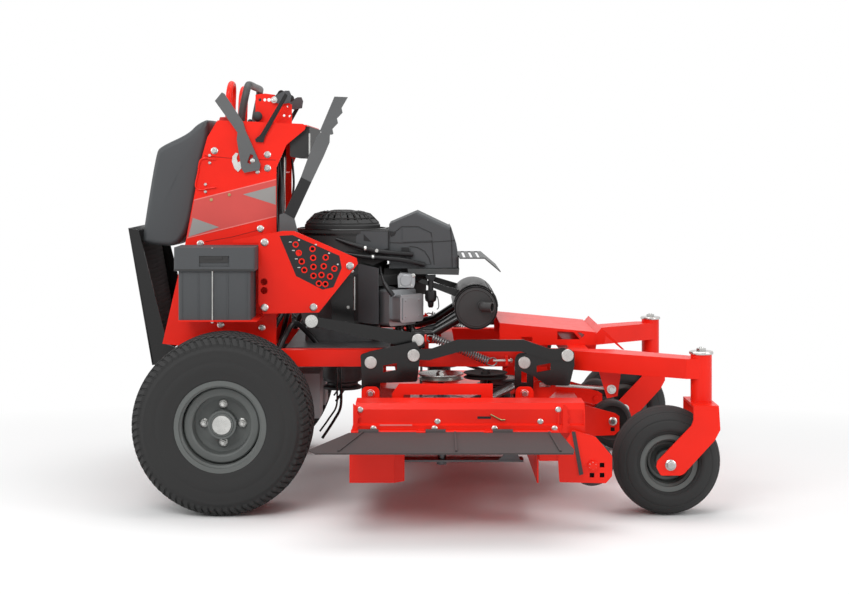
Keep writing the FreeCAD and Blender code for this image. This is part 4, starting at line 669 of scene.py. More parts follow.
def place(name: str, surface: Surface, finish: Finish, body: str = "chassis",
          replaces: tuple[str, ...] = (), crease: float = SHARP) -> bpy.types.Object:
    """Make a finished piece of a surface and report it.

    Args:
        name: the piece's name.
        surface: its shape, in millimetres.
        finish: its material and slot.
        body: the body that it rides on.
        replaces: CAD nodes that it stands for.
        crease: edges sharper than this angle stay sharp.
    Returns:
        the Blender object.
    """
    mesh = bpy.data.meshes.new(name)
    faces = [corner for group in surface.faces for corner in group.tolist()]
    mesh.from_pydata((surface.points * MM + (0, MIDLINE, 0)).tolist(), [], faces)
    work = bmesh.new()
    work.from_mesh(mesh)
    bmesh.ops.remove_doubles(work, verts=work.verts, dist=WELD)
    bmesh.ops.recalc_face_normals(work, faces=work.faces)
    work.to_mesh(mesh)
    work.free()
    mesh.polygons.foreach_set("use_smooth", np.ones(len(mesh.polygons), bool))
    mesh.set_sharp_from_angle(angle=math.radians(crease))
    mesh.materials.append(finish.build())
    piece = bpy.data.objects.new(name, mesh)
    bpy.context.scene.collection.objects.link(piece)
    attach(piece, body)
    if replaces:
        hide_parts(*replaces)
    log.info("%s: %d faces on %s", name, len(mesh.polygons), body)
    return piece


# ---------------------------------------------------------------- wheels

class Side(Enum):
    """The two sides of the machine, as the sign of Y."""

    RIGHT = -1
    LEFT = 1

    @property
    def word(self) -> str:
        """The side's word in the CAD names."""
        return self.name.lower()


@dataclass
class DriveWheel:
    """A large turf tyre with small skewed blocks, and the dressing of its pressed rim.

    Attributes:
        side: of the machine.
        radius: of the tyre; the axle stands as high above the floor.
        half: half of its width.
        shoulder: radius of its shoulders.
        axle_x: of the axle.
        axle_y: the wheel's middle, from the midline.
        tread: depth between the blocks.
        sunk: how far the blocks' feet go into the tread's floor.
        pitch: between rows of blocks.
        edge: how far out the blocks reach.
        rows: of blocks.
        blocks: in a row.
    """

    side: Side
    radius: float = 279.4
    half: float = 120.5
    shoulder: float = 46.0
    axle_x: float = -599.0
    axle_y: float = 524.5
    tread: float = 7.0
    sunk: float = 1.5
    pitch: float = 26.0
    edge: float = 117.0
    rows: int = 9
    blocks: int = 76

    def crown(self, across: Array) -> Array:
        """Outer radius by distance across: a slight parabola, then the shoulder's quarter round."""
        flat = self.half - self.shoulder
        over = np.clip(np.abs(across) - flat, 0, self.shoulder * 0.98)
        return (self.radius - 0.8 * np.minimum(np.abs(across) / flat, 1) ** 2 - self.shoulder
                + np.sqrt(self.shoulder ** 2 - over ** 2))

    def carcass(self) -> Surface:
        """Beads, bulging sidewalls with a raised ring and the tread's floor, turned about the axle."""
        across = np.linspace(-108, 108, 15)
        floor = np.stack([across, self.crown(across) - self.tread], 1)
        wall = np.array([(-100, 141), (-110, 143.4), (-113.5, 149), (-113, 156), (-116.5, 166),
                         (-119.4, 184), (-120.3, 199), (-119.6, 201), (-120.4, 204), (-120.5, 222),
                         (-119.6, 231), (-120.3, 235), (-119.2, 239), (-116.8, 241), (-114.5, 247)])
        profile = np.vstack([wall, floor, wall[::-1] * (-1, 1)])
        return lathe(profile, "Y", steps=96, closed=True)

    def tread_blocks(self) -> Surface:
        """Blocks in staggered rows: each a skewed patch of the crown, raised from the tread's floor."""
        row = np.arange(self.rows)[:, None, None]
        step = np.arange(self.blocks)[None, :, None]
        across_corner = np.array([-0.41, 0.41, 0.41, -0.41]) * self.pitch
        around_corner = np.array([-0.33, -0.33, 0.33, 0.33])
        across = (row - (self.rows - 1) / 2) * self.pitch + across_corner + 0 * step
        skew = 0.22 * np.where(row % 2, 1, -1) * np.sign(across_corner)
        around = FULL_TURN * (step + 0.5 * (row % 2) + around_corner + skew) / self.blocks
        across = np.clip(across, -self.edge, self.edge)
        rings = []
        for lift, shrink in ((-self.tread - self.sunk, 1.0), (-0.2, 0.92)):
            y, turn = (middle + (value - middle) * shrink for value, middle in
                       ((across, across.mean(-1, keepdims=True)),
                        (around, around.mean(-1, keepdims=True))))
            reach = self.crown(y) + lift
            rings.append(np.stack([reach * np.sin(turn), y, reach * np.cos(turn)], -1).reshape(-1, 4, 3))
        points = np.concatenate(rings, 1)
        start = 8 * np.arange(len(points))[:, None, None]
        sides = np.array([(0, 1, 5, 4), (1, 2, 6, 5), (2, 3, 7, 6), (3, 0, 4, 7), (4, 5, 6, 7)])
        return Surface(points.reshape(-1, 3), [(start + sides).reshape(-1, 4)])

    def settled(self, surface: Surface) -> Surface:
        """A surface made for the right wheel about its own axle, put on this side."""
        there = surface.moved(self.axle_x, -self.axle_y, self.radius)
        return there if self.side is Side.RIGHT else there.mirrored()

    def build(self) -> None:
        """Tyre, step ring, centre cap, wheel nuts and valve."""
        word = self.side.word
        body = f"drive_wheel_{word}"
        tyre = joined([self.carcass(), self.tread_blocks()])
        place(f"turf_tyre_{word}", self.settled(tyre), RUBBER, body, (f"drive_tyre_{word}",), SHARP_TUBE)
        step = lathe([(-40, 119), (-72, 117.5), (-76, 113), (-76, 97), (-72, 91.5), (-34, 88),
                      (-32, 90), (-36, 119)], steps=72, closed=True)
        collar = lathe([(-64, 30), (-64, 38), (-68, 37), (-70, 35), (-70, 31)], steps=48, closed=True)
        place(f"rim_step_{word}", self.settled(joined([step, collar])), RIM_GREY, body)
        cap = lathe([(-60, 0), (-60, 31), (-71, 31), (-73, 29), (-74.5, 16), (-75, 0)], steps=48)
        turns = np.arange(4) * math.pi / 2
        spots = [(60 * math.cos(turn), -28.4, 60 * math.sin(turn)) for turn in turns]
        studs = [lathe([(0, 0), (0, 6), (-19, 6), (-20, 5), (-20, 0)], "Y", spot, 16) for spot in spots]
        nuts = joined([cap, screws(spots, 15), *studs])
        place(f"wheel_nuts_{word}", self.settled(nuts), ZINC, body)
        valve = lathe([(0, 0), (0, 7), (-8, 6), (-10, 4.4), (-34, 4.4), (-36, 3), (-36, 0)], "Y",
                      (-6, -36, -101), 14)
        place(f"valve_{word}", self.settled(valve), PLASTIC, body)


@dataclass
class Caster:
    """A smooth caster tyre with shallow ribs, and the bolts of its fork and post.

    Attributes:
        side: of the machine.
        radius: of the tyre; the axle stands as high above the floor.
        half: half of its width.
        shoulder: radius of its shoulders.
        axle_x: of the axle.
        post_x: of the post's axis.
        post_y: of the post and the wheel, from the midline.
        bolt_y: where the axle bolt's heads seat, from the wheel's middle.
    """

    side: Side
    radius: float = 166.5
    half: float = 82.5
    shoulder: float = 66.0
    axle_x: float = 784.0
    post_x: float = 895.0
    post_y: float = 555.0
    bolt_y: float = 98.6

    def tyre(self) -> Surface:
        """A round section (c + r cos, c + r sin) with three ribs pressed into each shoulder."""
        flat = self.half - self.shoulder
        turn = np.linspace(0.12, np.pi / 2, 40)
        ribs = np.exp(-((turn[:, None] - np.array([0.52, 0.98, 1.5])) / 0.028) ** 2).sum(1)
        reach = self.shoulder - 0.4 - 2.2 * ribs
        arc = np.stack([-flat - reach * np.cos(turn),
                        self.radius - self.shoulder + reach * np.sin(turn)], 1)
        bead = np.array([(-58, 87.5), (-66, 88.8), (-71, 91), (-74, 94), (-73.5, 97), (-79, 101)])
        outer = np.vstack([bead, arc])
        return lathe(np.vstack([outer, outer[::-1] * (-1, 1)]), steps=80, closed=True)

    def settled(self, surface: Surface, x: float, z: float) -> Surface:
        """A surface made for the right caster about a point, put on this side."""
        there = surface.moved(x, -self.post_y, z)
        return there if self.side is Side.RIGHT else there.mirrored()

    def build(self) -> None:
        """Tyre, hub rings, axle bolt and post cap."""
        word = self.side.word
        place(f"smooth_tyre_{word}", self.settled(self.tyre(), self.axle_x, self.radius), RUBBER,
              f"caster_wheel_{word}", (f"caster_tyre_{word}",), SHARP_TUBE)
        rings = [lathe([(-9, 62), (-20, 61), (-22, 59), (-22, 52), (-20, 50), (-9, 49)], steps=48,
                       closed=True),
                 lathe([(-9, 36), (-34, 35), (-36, 33), (-36, 27), (-9, 27)], steps=40, closed=True)]
        place(f"caster_hub_{word}", self.settled(joined(rings), self.axle_x, self.radius), RIM_GREY,
              f"caster_wheel_{word}")
        bolts = [screw(0, side * self.bolt_y, 0, 17, side=side) for side in (-1, 1)]
        place(f"axle_bolt_{word}", self.settled(joined(bolts), self.axle_x, self.radius), ZINC,
              f"caster_{word}")
        cap = lathe([(495.8, 0), (495.8, 37), (500, 38), (503, 37), (505, 34), (506, 0)], "Z", steps=40)
        nut = joined([lathe([(505, 15), (512.5, 15), (514, 12), (514, 0)], "Z", steps=6),
                      lathe([(513, 7), (517, 6), (518, 0)], "Z", steps=14)])
        place(f"post_cap_{word}", self.settled(joined([cap, nut]), self.post_x, 0), ZINC,
              f"caster_{word}")


# ---------------------------------------------------------------- tower

@dataclass
class Tower:
    """Stripes, screws, bail, rivets and brake quadrant of the control tower's two sides.

    Attributes:
        face: Y of the right panel's outer face.
    """

    face: float = -300.0

    def plate(self, outline: Outline, proud: float) -> Surface:
        """A thin sheet laid on both side panels."""
        return slab(outline, self.face - proud, self.face + 0.4).both()

    def stripes(self) -> None:
        """The pale band with its two grey arrowheads, without lettering."""
        band = [(-727, 972.3), (-462.5, 1039), (-458, 1039), (-458, 918.3), (-750.5, 847.6)]
        edge_top = [(-727, 972.3), (-458, 1040.2), (-458, 1036.6), (-728, 968.6)]
        edge_low = [(-750.5, 847.6), (-458, 919.5), (-458, 915.8), (-751.2, 844)]
        place("stripe_band", self.plate(band, 0.5), STRIPE)
        place("stripe_edges", joined([self.plate(edge_top, 0.9), self.plate(edge_low, 0.9)]),
              STRIPE_EDGE_AND_HIGHLIGHT)
        front = [(-567, 989), (-459, 1017.5), (-459, 955)]
        rear = [(-731.5, 912), (-645, 881.5), (-745.5, 849.5)]
        place("stripe_arrows", joined([self.plate(front, 1.0), self.plate(rear, 1.0)]), STRIPE_GREY)

    def fasteners(self) -> None:
        """Flange screws, small rivets, and the two fold seams of each side."""
        y = self.face
        spots = [(-660.7, y, 1132.8), (-486.4, y, 1119.6), (-486.4, y, 1075.2), (-509.4, y, 876.2),
                 (-706.7, y, 827.0), (-504.4, y, 550.6), (-640, y, 560)]
        place("tower_screws", screws(spots, 11.5).both(), ZINC)
        rivets = [disc(x, y, z, 5.5, -2.6, steps=16) for x, z in ((-612, 988), (-671, 971.6))]
        place("tower_rivets", joined(rivets).both(), BRASS)
        seams = [tube([(-693, y - 0.2, 1116), (-576, y - 0.2, 1105), (-459, y - 0.2, 1102)], 0.9, 6),
                 tube([(-690, y - 0.2, 834), (-600, y - 0.2, 850), (-512, y - 0.2, 873)], 0.9, 6)]
        place("tower_seams", joined(seams).both(), SEAM)

    def bail(self) -> None:
        """The wire bail at each panel's rear edge, with its four small feet."""
        y = self.face - 4
        wire = pipe([(-657, y, 1105), (-676, y, 1106), (-693, y, 1108), (-708, y, 1098),
                     (-714, y, 1060), (-722, y, 1022), (-716, y, 1007), (-700, y, 1005),
                     (-676, y, 1010), (-654, y, 1013)], 60, 2.6, 8)
        place("wire_bail", wire.both(), RED)
        feet = [disc(x, self.face, z, 5, -6, steps=12)
                for x, z in ((-676, 1117), (-676, 1093), (-690, 1022), (-690, 998))]
        place("bail_feet", joined(feet).both(), ZINC)

    def brake_guide(self) -> None:
        """The plated quadrant behind the parking brake, and the stop screws round it."""
        quadrant = [(-591, 1126), (-601, 1114), (-603, 1098), (-595, 1075), (-583, 1063), (-572, 1076),
                    (-574, 1098), (-584, 1095), (-588, 1109), (-582, 1124)]
        place("brake_quadrant", slab(quadrant, self.face - 2.6, self.face + 0.4), ZINC)
        place("brake_screws", screws([(-549, self.face, 1133), (-519, self.face, 1063)], 7), ZINC)
        place("brake_pivot", screws([(-534, -312, 1100)], 7), ZINC)

    def build(self) -> None:
        """Everything on the tower's sides."""
        self.stripes()
        self.fasteners()
        self.bail()
        self.brake_guide()


@dataclass
class HeightPlate:
    """The dark scale patch on the height plate, its ringed pin holes and corner screws.

    Attributes:
        face: Y of the plate's outer face.
        fan_x: of the centre that the holes fan out from.
        fan_z: of that centre.
        fan: radius to the first hole.
        hole: radius of a hole.
    """

    face: float = -376.0
    fan_x: float = -336.0
    fan_z: float = 636.0
    fan: float = 199.0
    hole: float = 6.2

    def holes(self) -> Outline:
        """Centres of the pin holes, on arcs about the fan's centre."""
        spots = []
        for row, count in enumerate((4, 4, 4, 3)):
            for step in range(count):
                radius = self.fan - 29 * row - 21 * step
                turn = math.radians(105 - 16 * step - row)
                spots.append((self.fan_x + radius * math.cos(turn),
                              self.fan_z + radius * math.sin(turn)))
        return spots

    def build(self) -> None:
        """Patch, rings, plain marks, corner screws, and the lift lever's washer and dark sleeve."""
        patch = [(-440, 856), (-398, 859), (-246, 792), (-238, 752), (-265, 690), (-300, 682),
                 (-386, 726)]
        holes = self.holes()
        place("scale_patch", pierced(patch, [(x, z, self.hole) for x, z in holes], self.face - 0.5,
                                     self.face + 0.3), SCALE_BLACK_AND_SHADE)
        section = [(0, self.hole), (0, 10.2), (-1.1, 10.0), (-1.1, self.hole)]
        rings = [lathe(section, "Y", (x, self.face - 0.4, z), 28, True) for x, z in holes]
        place("scale_rings", joined(rings), RED)
        low, high = self.face - 1.0, self.face - 0.4
        marks = [block((x - 22, low, z + 7), (x - 13, high, z + 9.5)) for x, z in holes[::4]]
        marks += [block((x + 8, low, z + 12), (x + 14, high, z + 16)) for x, z in holes[:4]]
        place("scale_marks", joined(marks), MARK_WHITE)
        corners = [(-488, 835), (-488, 623.4), (-329.6, 624.7), (-211.4, 758.6)]
        place("plate_screws", screws([(x, self.face, z) for x, z in corners], 12.5), ZINC)
        washer = lathe([(0, 7), (0, 20.5), (-1.6, 20.5), (-1.6, 7)], "Y", (-335, -388.9, 581), 32, True)
        place("lever_washer", washer, ZINC, "lift_handle")
        sleeve = [(-429, 929), (-375, 1046), (-341, 1029), (-396, 910)]
        place("lever_sleeve", slab(sleeve, -323.4, -312.8), SCALE_BLACK_AND_SHADE, "lift_handle")


@dataclass
class Console:
    """Knobs, grips, bail and cables round the instrument panel.

    Attributes:
        top: height of the console's top.
        lever_y: of a drive lever, from the midline.
    """

    top: float = 1218.0
    lever_y: float = 150.0

    def knob(self, x: float, y: float, radius: float, rise: float) -> Surface:
        """A ball on a stem: radius r sin t at height h - r cos t.

        Args:
            x: of its axis.
            y: of its axis.
            radius: r, of the ball.
            rise: h, from the console's top to the ball's centre.
        Returns:
            the knob.
        """
        turn = np.linspace(0.0, np.pi * 0.9, 14)
        ball = np.stack([rise - radius * np.cos(turn[::-1] + 0.1), radius * np.sin(turn[::-1] + 0.1)], 1)
        stem = [(-6, 0), (-6, 4.5), (rise - radius, 4.5)]
        return lathe(np.vstack([stem, ball[::-1], [(rise + radius, 0)]]), "Z", (x, y, self.top), 24)

    def bail(self) -> Surface:
        """A flat bar from its pivot on the side panel up to the hand grips."""
        bar = [(-428, 1322), (-418, 1314), (-494, 1178), (-499, 1160), (-524, 1162), (-526, 1170),
               (-508, 1186)]
        rib = [(-426, 1312), (-423, 1310), (-500, 1180), (-503, 1182)]
        return joined([slab(bar, -309, -303), slab(rib, -312, -309)])

    def loops(self) -> None:
        """The tall grey bar, leaning forward a little, and the pair of red hand loops behind it."""
        knots = [(-584, -210, 1214), (-580, -210, 1262), (-568, -209, 1322), (-563, -190, 1350),
                 (-560, -160, 1356), (-560, 0, 1356)]
        half = curve(knots, 40)
        path = np.vstack([half, half[-2::-1] * (1, -1, 1)])
        place("leaning_bar", tube(path, 12.5, 16), CHARCOAL, "chassis", ("upper_bar",), SHARP_TUBE)
        hoop = curve([(-624, -236, 1214), (-622, -236, 1290), (-620, -232, 1330), (-618, -208, 1353),
                      (-618, -178, 1358), (-618, -148, 1353), (-620, -124, 1330), (-622, -120, 1290),
                      (-624, -120, 1214)], 60)
        place("red_hoops", tube(hoop, 10.5, 16).both(), RED, "chassis", ("red_loops",), SHARP_TUBE)

    def levers(self) -> None:
        """The two drive levers with their ribbed grips, each on its own body."""
        ripple = 11.5 + 0.8 * np.sin(np.arange(30) * 1.5)
        for side in Side:
            s, word = side.value, side.word
            y = s * self.lever_y
            stem = pipe([(-505, y, 1235), (-487, y, 1279), (-471, y, 1306), (-459, s * 158, 1319)], 24,
                        8.5, 12)
            pivot = disc(-505, y - 10, 1235, 13, 20)
            place(f"drive_stem_{word}", joined([stem, pivot]), CHARCOAL, f"drive_handle_{word}",
                  (f"drive_lever_{word}",), SHARP_TUBE)
            knots = [(-461, s * 156, 1317), (-455, s * 166, 1322), (-452, s * 180, 1325),
                     (-451, s * 194, 1325)]
            place(f"lever_grip_{word}", pipe(knots, 30, ripple, 14), GRIP, f"drive_handle_{word}")

    def build(self) -> None:
        """All of the console's small parts, and the cables and wiring below them."""
        self.loops()
        self.levers()
        place("throttle_knob", self.knob(-522, -274, 16.5, 28), PLASTIC)
        place("choke_knob", self.knob(-548, -262, 8, 12), PLASTIC)
        place("presence_bail", self.bail().both(), BLACK_PAINT)
        cap = [(-472, 1311), (-461, 1318), (-432, 1332), (-418, 1332), (-412, 1318), (-416, 1292),
               (-446, 1287), (-465, 1292)]
        place("lever_cover", slab(cap, -262, -252).both(), PLASTIC_GREY)
        place("panel_pivot", joined([disc(-468, -262, 1301, 11, -4), screw(-468, -266, 1301, 7)]), ZINC)
        base = lathe([(0, 0), (0, 25), (5, 25), (8, 21), (13, 18), (24, 15), (26, 13), (26, 0)], "Z",
                     (-632, -272, 1218), 28)
        place("key_boss", base, RED_DARK)
        cable = pipe([(-434, -262, 1112), (-434, -264, 1040), (-433, -262, 960), (-432, -258, 880),
                      (-420, -240, 800)], 50, 2.4, 8)
        sheath = pipe([(-452, -250, 1108), (-446, -256, 1020), (-452, -252, 930), (-440, -246, 820),
                       (-400, -230, 740)], 50, 4.2, 8)
        loom = [pipe([(x, y, 1190), (x + 4, y, 1090), (x - 3, y, 980), (x + 2, y, 880),
                      (x + 10, y, 770)], 40, 9.5, 10)
                for x, y in ((-466, -205), (-458, -186), (-449, -205), (-466, -160), (-452, -140),
                             (-462, -90))]
        place("wiring_loom", joined(loom), PLASTIC_GLOSS)
        place("plated_cable", cable, ZINC)
        place("black_cable", sheath.both(), PLASTIC_GLOSS)
        strip = slab([(-352, 1190), (-347, 1190), (-347, 1128), (-352, 1118)], -281.4, -279.6)
        place("nose_trim", strip.both(), ZINC)


@dataclass
class KneePad:
    """The moulded cushion: the tower's back profile with rounded rims, a slight crown and two welts.

    Attributes:
        half: half of its width.
        rim: radius of its rims.
        crown: how far its middle swells.
        cut: share of a side that each corner cut takes.
        outline: its corners as X and Z.
    """

    half: float = 250.0
    rim: float = 20.0
    crown: float = 3.0
    cut: float = 0.22
    outline: tuple[tuple[float, float], ...] = (
        (-683, 1244), (-727, 1224), (-759, 1191), (-851, 1148), (-866, 1125), (-912, 843), (-904, 820),
        (-759.5, 810), (-706.5, 1097), (-684.5, 1177))

    def loop(self, inset: float) -> Array:
        """The outline rounded by Chaikin's corner cutting, three times over, and then moved inwards."""
        ring = np.array(self.outline)
        near, far = 1 - self.cut, self.cut
        for _ in range(3):
            there = np.roll(ring, -1, 0)
            ring = np.stack([ring * near + there * far, ring * far + there * near], 1).reshape(-1, 2)
        along = np.roll(ring, -1, 0) - np.roll(ring, 1, 0)
        along /= np.linalg.norm(along, axis=1, keepdims=True)
        inward = np.stack([-along[:, 1], along[:, 0]], 1)
        if ((ring.mean(0) - ring) * inward).sum() < 0:
            inward = -inward
        return ring + inward * inset

    def build(self) -> None:
        """Loops at stations across, set in by the rim's quarter round less the crown, then the welts.

        Each side is closed by shrinking loops that bulge by 1.5 (1 - k^3) mm, where k is their size.
        """
        out = np.concatenate([self.half - np.array([0, 0.6, 2.2, 5, 9, 14, 20]),
                              np.linspace(self.half - 30, 0, 14)])
        stations = np.concatenate([out, -out[-2::-1]])
        edge = self.half - np.abs(stations)
        rounding = self.rim - np.sqrt(np.maximum(self.rim ** 2 - np.maximum(self.rim - edge, 0) ** 2, 0))
        swell = self.crown * (1 - (stations / self.half) ** 2)
        insets = rounding * 0.8 + self.crown - swell
        loops = np.stack([self.loop(inset) for inset in insets])
        across = np.repeat(stations[:, None], loops.shape[1], 1)
        shrink = np.array([0.985, 0.9, 0.7, 0.45, 0.2, 0.02])[:, None, None]
        middle = loops[0].mean(0)
        side = middle + (loops[:1] - middle) * shrink
        bulge = np.repeat(self.half + 1.5 * (1 - shrink[:, 0] ** 3), loops.shape[1], 1)
        loops = np.concatenate([side[::-1], loops, side])
        across = np.concatenate([bulge[::-1], across, -bulge])
        points = np.stack([loops[..., 0], across, loops[..., 1]], -1)
        skin = grid(points, False, True)
        count = points.shape[1]
        ring = np.arange(count)[None]
        body = Surface(skin.points, skin.faces + [ring, ring[:, ::-1] + (len(points) - 1) * count])
        cushion = place("knee_cushion", body, PAD_SKIN, "chassis", ("knee_pad",), SHARP_PAD)
        rim = self.loop(self.crown + 1.2)
        paths = [np.stack([rim[:, 0], np.full(len(rim), side * (self.half - 21)), rim[:, 1]], 1)
                 for side in (-1, 1)]
        welts = [tube(path, 2.2, 8, True) for path in paths]
        seam = place("cushion_welts", joined(welts), PAD_SKIN)


@dataclass
class SideBoxes:
    """Battery box hold-down, ribs and lid tab, and the tank's straps and cap grip.

    Attributes:
        rear: X of the boxes' rear faces.
        long: their length.
        face: Y of the battery box's outer face.
    """

    rear: float = -753.0
    long: float = 231.0
    face: float = -474.0

    def build(self) -> None:
        """The rod with its nuts, the box's ribs, the lid's tab, and the tank's straps and cap grip."""
        middle = self.rear + self.long / 2 - 6
        y = self.face - 4
        rod = joined([tube([(middle, y, 586), (middle, y, 752)], 2.6, 10),
                      screw(middle, y, 588, 6, "Z"), screw(middle, y - 2, 824, 5, "Z")])
        place("hold_down_rod", rod, ZINC)
        low, high = self.face - 1.6, self.face + 0.5
        ribs = [block((x, low, 598), (x + 3, high, 744)) for x in (-742, -690, -597, -536)]
        place("box_ribs", joined(ribs), PLASTIC_GREY)
        tab = [slab([(middle - 44, 776), (middle + 50, 776), (middle + 50, 800), (middle + 44, 806),
                     (middle - 38, 806), (middle - 44, 800)], -480.2, -478),
               slab([(middle - 26, 786), (middle + 32, 786), (middle + 32, 796), (middle - 26, 796)],
                    -481.8, -480)]
        lip = block((-765.5, -482.6, 750), (-509.5, -481.4, 755))
        place("lid_tab", joined([*tab, lip]), PLASTIC)
        straps = [block((x, 481.4, 600), (x + 26, 484.5, 900)) for x in (-720, -580)]
        place("tank_straps", joined(straps), BLACK_PAINT)
        knurl = [block((-2, 37.6, 0), (2, 40, 22)).turned("Z", turn) for turn in range(0, 360, 15)]
        place("tank_cap_grip", joined(knurl).moved(self.rear + self.long / 2, 395, 907), PLASTIC)


@dataclass
class Engine:
    """Shroud panels, hoses, leads, fuel parts, screen rings, and painted shade in the muffler shield's
    holes, the vent, the port and the creases.

    Attributes:
        x: of the engine's upright axis.
        turn: of its cylinders from the machine's long axis, in degrees.
    """

    x: float = -255.0
    turn: float = -45.0

    def shroud(self) -> None:
        """Grey side panels with painted shade in their vent and along their edges, the crank cover, the
        cylinder ducts, dipstick and screws.
        """
        panel = [(-231, 861), (-93, 861), (-93, 803), (-150, 790), (-231, 806)]
        place("shroud_panel", slab(panel, -146.5, -143.6).both(), PLASTIC_GREY)
        # A dark triangle in the vent and dark lines along the panels' edges: painted shade.
        vent = [(-176, 852), (-176, 829), (-150, 826)]
        lines = [tube([(-233, -147, 862), (-233, -147, 806)], 1.6, 6),
                 tube([(-92, -147, 862), (-92, -147, 800)], 1.6, 6)]
        place("shroud_vent_shade", joined([slab(vent, -147.2, -146), *lines]).both(), SCALE_BLACK_AND_SHADE)
        cover = [(-292, 752), (-190, 760), (-190, 552), (-282, 552)]
        place("crank_cover", slab(cover, -151, -146.5).both(), BLACK_PAINT)
        duct = slab([(165, 556), (262, 556), (262, 742), (165, 752)], -77.5, -74.5)
        place("cylinder_duct", duct.turned("Z", self.turn).moved(self.x).both(), PLASTIC_GREY)
        place("dipstick", tube([(-207, -154, 596), (-207, -154, 708)], 4.4, 10), ZINC)
        spots = [(-198, -151, 590), (-228, -151, 604), (-214, -151, 726), (-270, -151, 735)]
        place("cover_screws", screws(spots, 5.5).both(), ZINC)

    def hoses(self) -> None:
        """Two thick breather hoses with a clip, the plug lead and its boot."""
        upper = curve([(-268, -150, 836), (-215, -163, 818), (-142, -166, 797), (-70, -162, 788),
                       (-10, -146, 783)], 50)
        lower = curve([(-236, -150, 786), (-180, -164, 778), (-120, -168, 773), (-40, -164, 764),
                       (30, -146, 748)], 50)
        place("breather_hoses", joined([tube(upper, 8.2, 14), tube(lower, 8.2, 14)]), PLASTIC_GLOSS)
        clips = [band(7, 8.3, 9.6, "X", tuple(path[20] - (3.5, 0, 0)), 20) for path in (upper, lower)]
        place("hose_clips", joined([*clips, disc(-131, -176, 797, 6, -2.5)]), ZINC)
        lead = pipe([(-118, -190, 742), (-112, -236, 716), (-100, -262, 690), (-78, -272, 662)], 30,
                    3.6, 10)
        flare = np.linspace(6.5, 8.5, 12)
        boot = pipe([(-104, -258, 696), (-92, -268, 678), (-74, -274, 654)], len(flare), flare, 14)
        place("plug_leads", joined([lead, boot]).both(), PLASTIC_GLOSS)

    def fuel_parts(self) -> None:
        """The pump's cast body and round cover, the intake elbow, and the filter bowl on its hanger."""
        body = slab([(-58, 676), (-6, 676), (-2, 690), (-2, 720), (-52, 724), (-60, 712)], -214, -150)
        place("fuel_pump", joined([body, disc(-33, -214, 700, 19, -5)]), ALUMINIUM)
        throat = lathe([(-104, 0), (-104, 22), (-96, 26), (-40, 26), (-30, 30), (36, 30), (40, 24),
                        (40, 0)], "X", (0, -74, 712), 24)
        flange = slab([(-60, 690), (30, 690), (38, 700), (38, 733), (-108, 733), (-108, 712)], -100,
                      -47.5)
        place("intake_elbow", joined([throat, flange]).both(), PLASTIC)
        small = screws([(-50, -214, 683), (-14, -214, 683)], 4)
        place("pump_screws", joined([screws([(-8, -214, 716)], 7), small]), ZINC)
        bowl = lathe([(664, 0), (664, 15), (661, 19), (640, 20), (630, 18), (624, 11), (610, 9),
                      (606, 6), (606, 0)], "Z", (51, -178, 0), 28)
        hook = pipe([(62, -178, 650), (74, -180, 640), (78, -182, 610), (72, -182, 600)], 20, 1.6, 6)
        hanger = joined([slab([(34, 712.5), (68, 712.5), (64, 704), (56, 700), (46, 700), (38, 704)],
                              -196, -118),
                         lathe([(662, 0), (662, 9), (702, 9), (702, 0)], "Z", (51, -178, 0), 16)])
        place("filter_bowl", joined([bowl, hook, hanger]), PLASTIC_GLOSS)

    def cleaner(self) -> None:
        """Painted shade along the creases, raised panels, and painted shade in the inlet port and notch
        of the air cleaner's cover.
        """
        y = -138.2
        creases = [[(-88, 848), (-60, 866), (-47, 877), (8, 877), (53, 856), (63, 748)],
                   [(-88, 823), (-47, 821), (62, 825), (134, 830)],
                   [(-20, 810), (6, 806), (30, 794), (46, 770), (53, 748)],
                   [(118, 876), (122, 830), (124, 738)]]
        # Dark lines along the creases: painted shade.
        lines = [tube([(x, y, z) for x, z in crease], 1.5, 6) for crease in creases]
        place("cleaner_crease_shade", joined(lines).both(), PLASTIC)
        raised = slab([(-44, 873), (6, 873), (49, 854), (58, 830), (-44, 825)], y - 2.4, y + 1)
        cheek = slab([(-16, 806), (8, 802), (28, 790), (43, 768), (49, 750), (-16, 750)], y - 2.4, y + 1)
        place("cleaner_panels", joined([raised, cheek]).both(), PLASTIC_GREY)
        # Dark sheets in the inlet port and the notch: painted shade inside them.
        port = slab([(-48, 806), (-22, 806), (-20, 786), (-30, 774), (-48, 778)], y - 3.2, y + 1)
        notch = slab([(-88, 862), (-66, 858), (-72, 846), (-84, 842)], y - 1.2, y + 1)
        place("cleaner_port_shade", joined([port, notch]).both(), SCALE_BLACK_AND_SHADE)

    def screen(self) -> None:
        """Four rings and twelve ribs over the slotted dome, its centre boss and the shroud's lip."""
        rings = [band(3, radius, radius + 3, "Z", (self.x, 0, z), 72)
                 for z, radius in ((884, 124), (902, 108), (914, 92), (921, 74))]
        rib = tube([(60, 0, 925), (96, 0, 915.5), (125, 0, 886)], 2.6, 6)
        ribs = [rib.turned("Z", turn).moved(self.x) for turn in range(0, 360, 30)]
        boss = lathe([(924, 0), (924, 44), (928, 42), (930, 30), (930, 0)], "Z", (self.x, 0, 0), 36)
        place("screen_rings", joined([*rings, *ribs, boss]), PLASTIC)
        lip = lathe([(846, 157), (866, 157), (868, 154), (868, 150), (846, 150)], "Z", (self.x, 0, 0),
                    72, True)
        place("shroud_lip", lip, BLACK_PAINT)

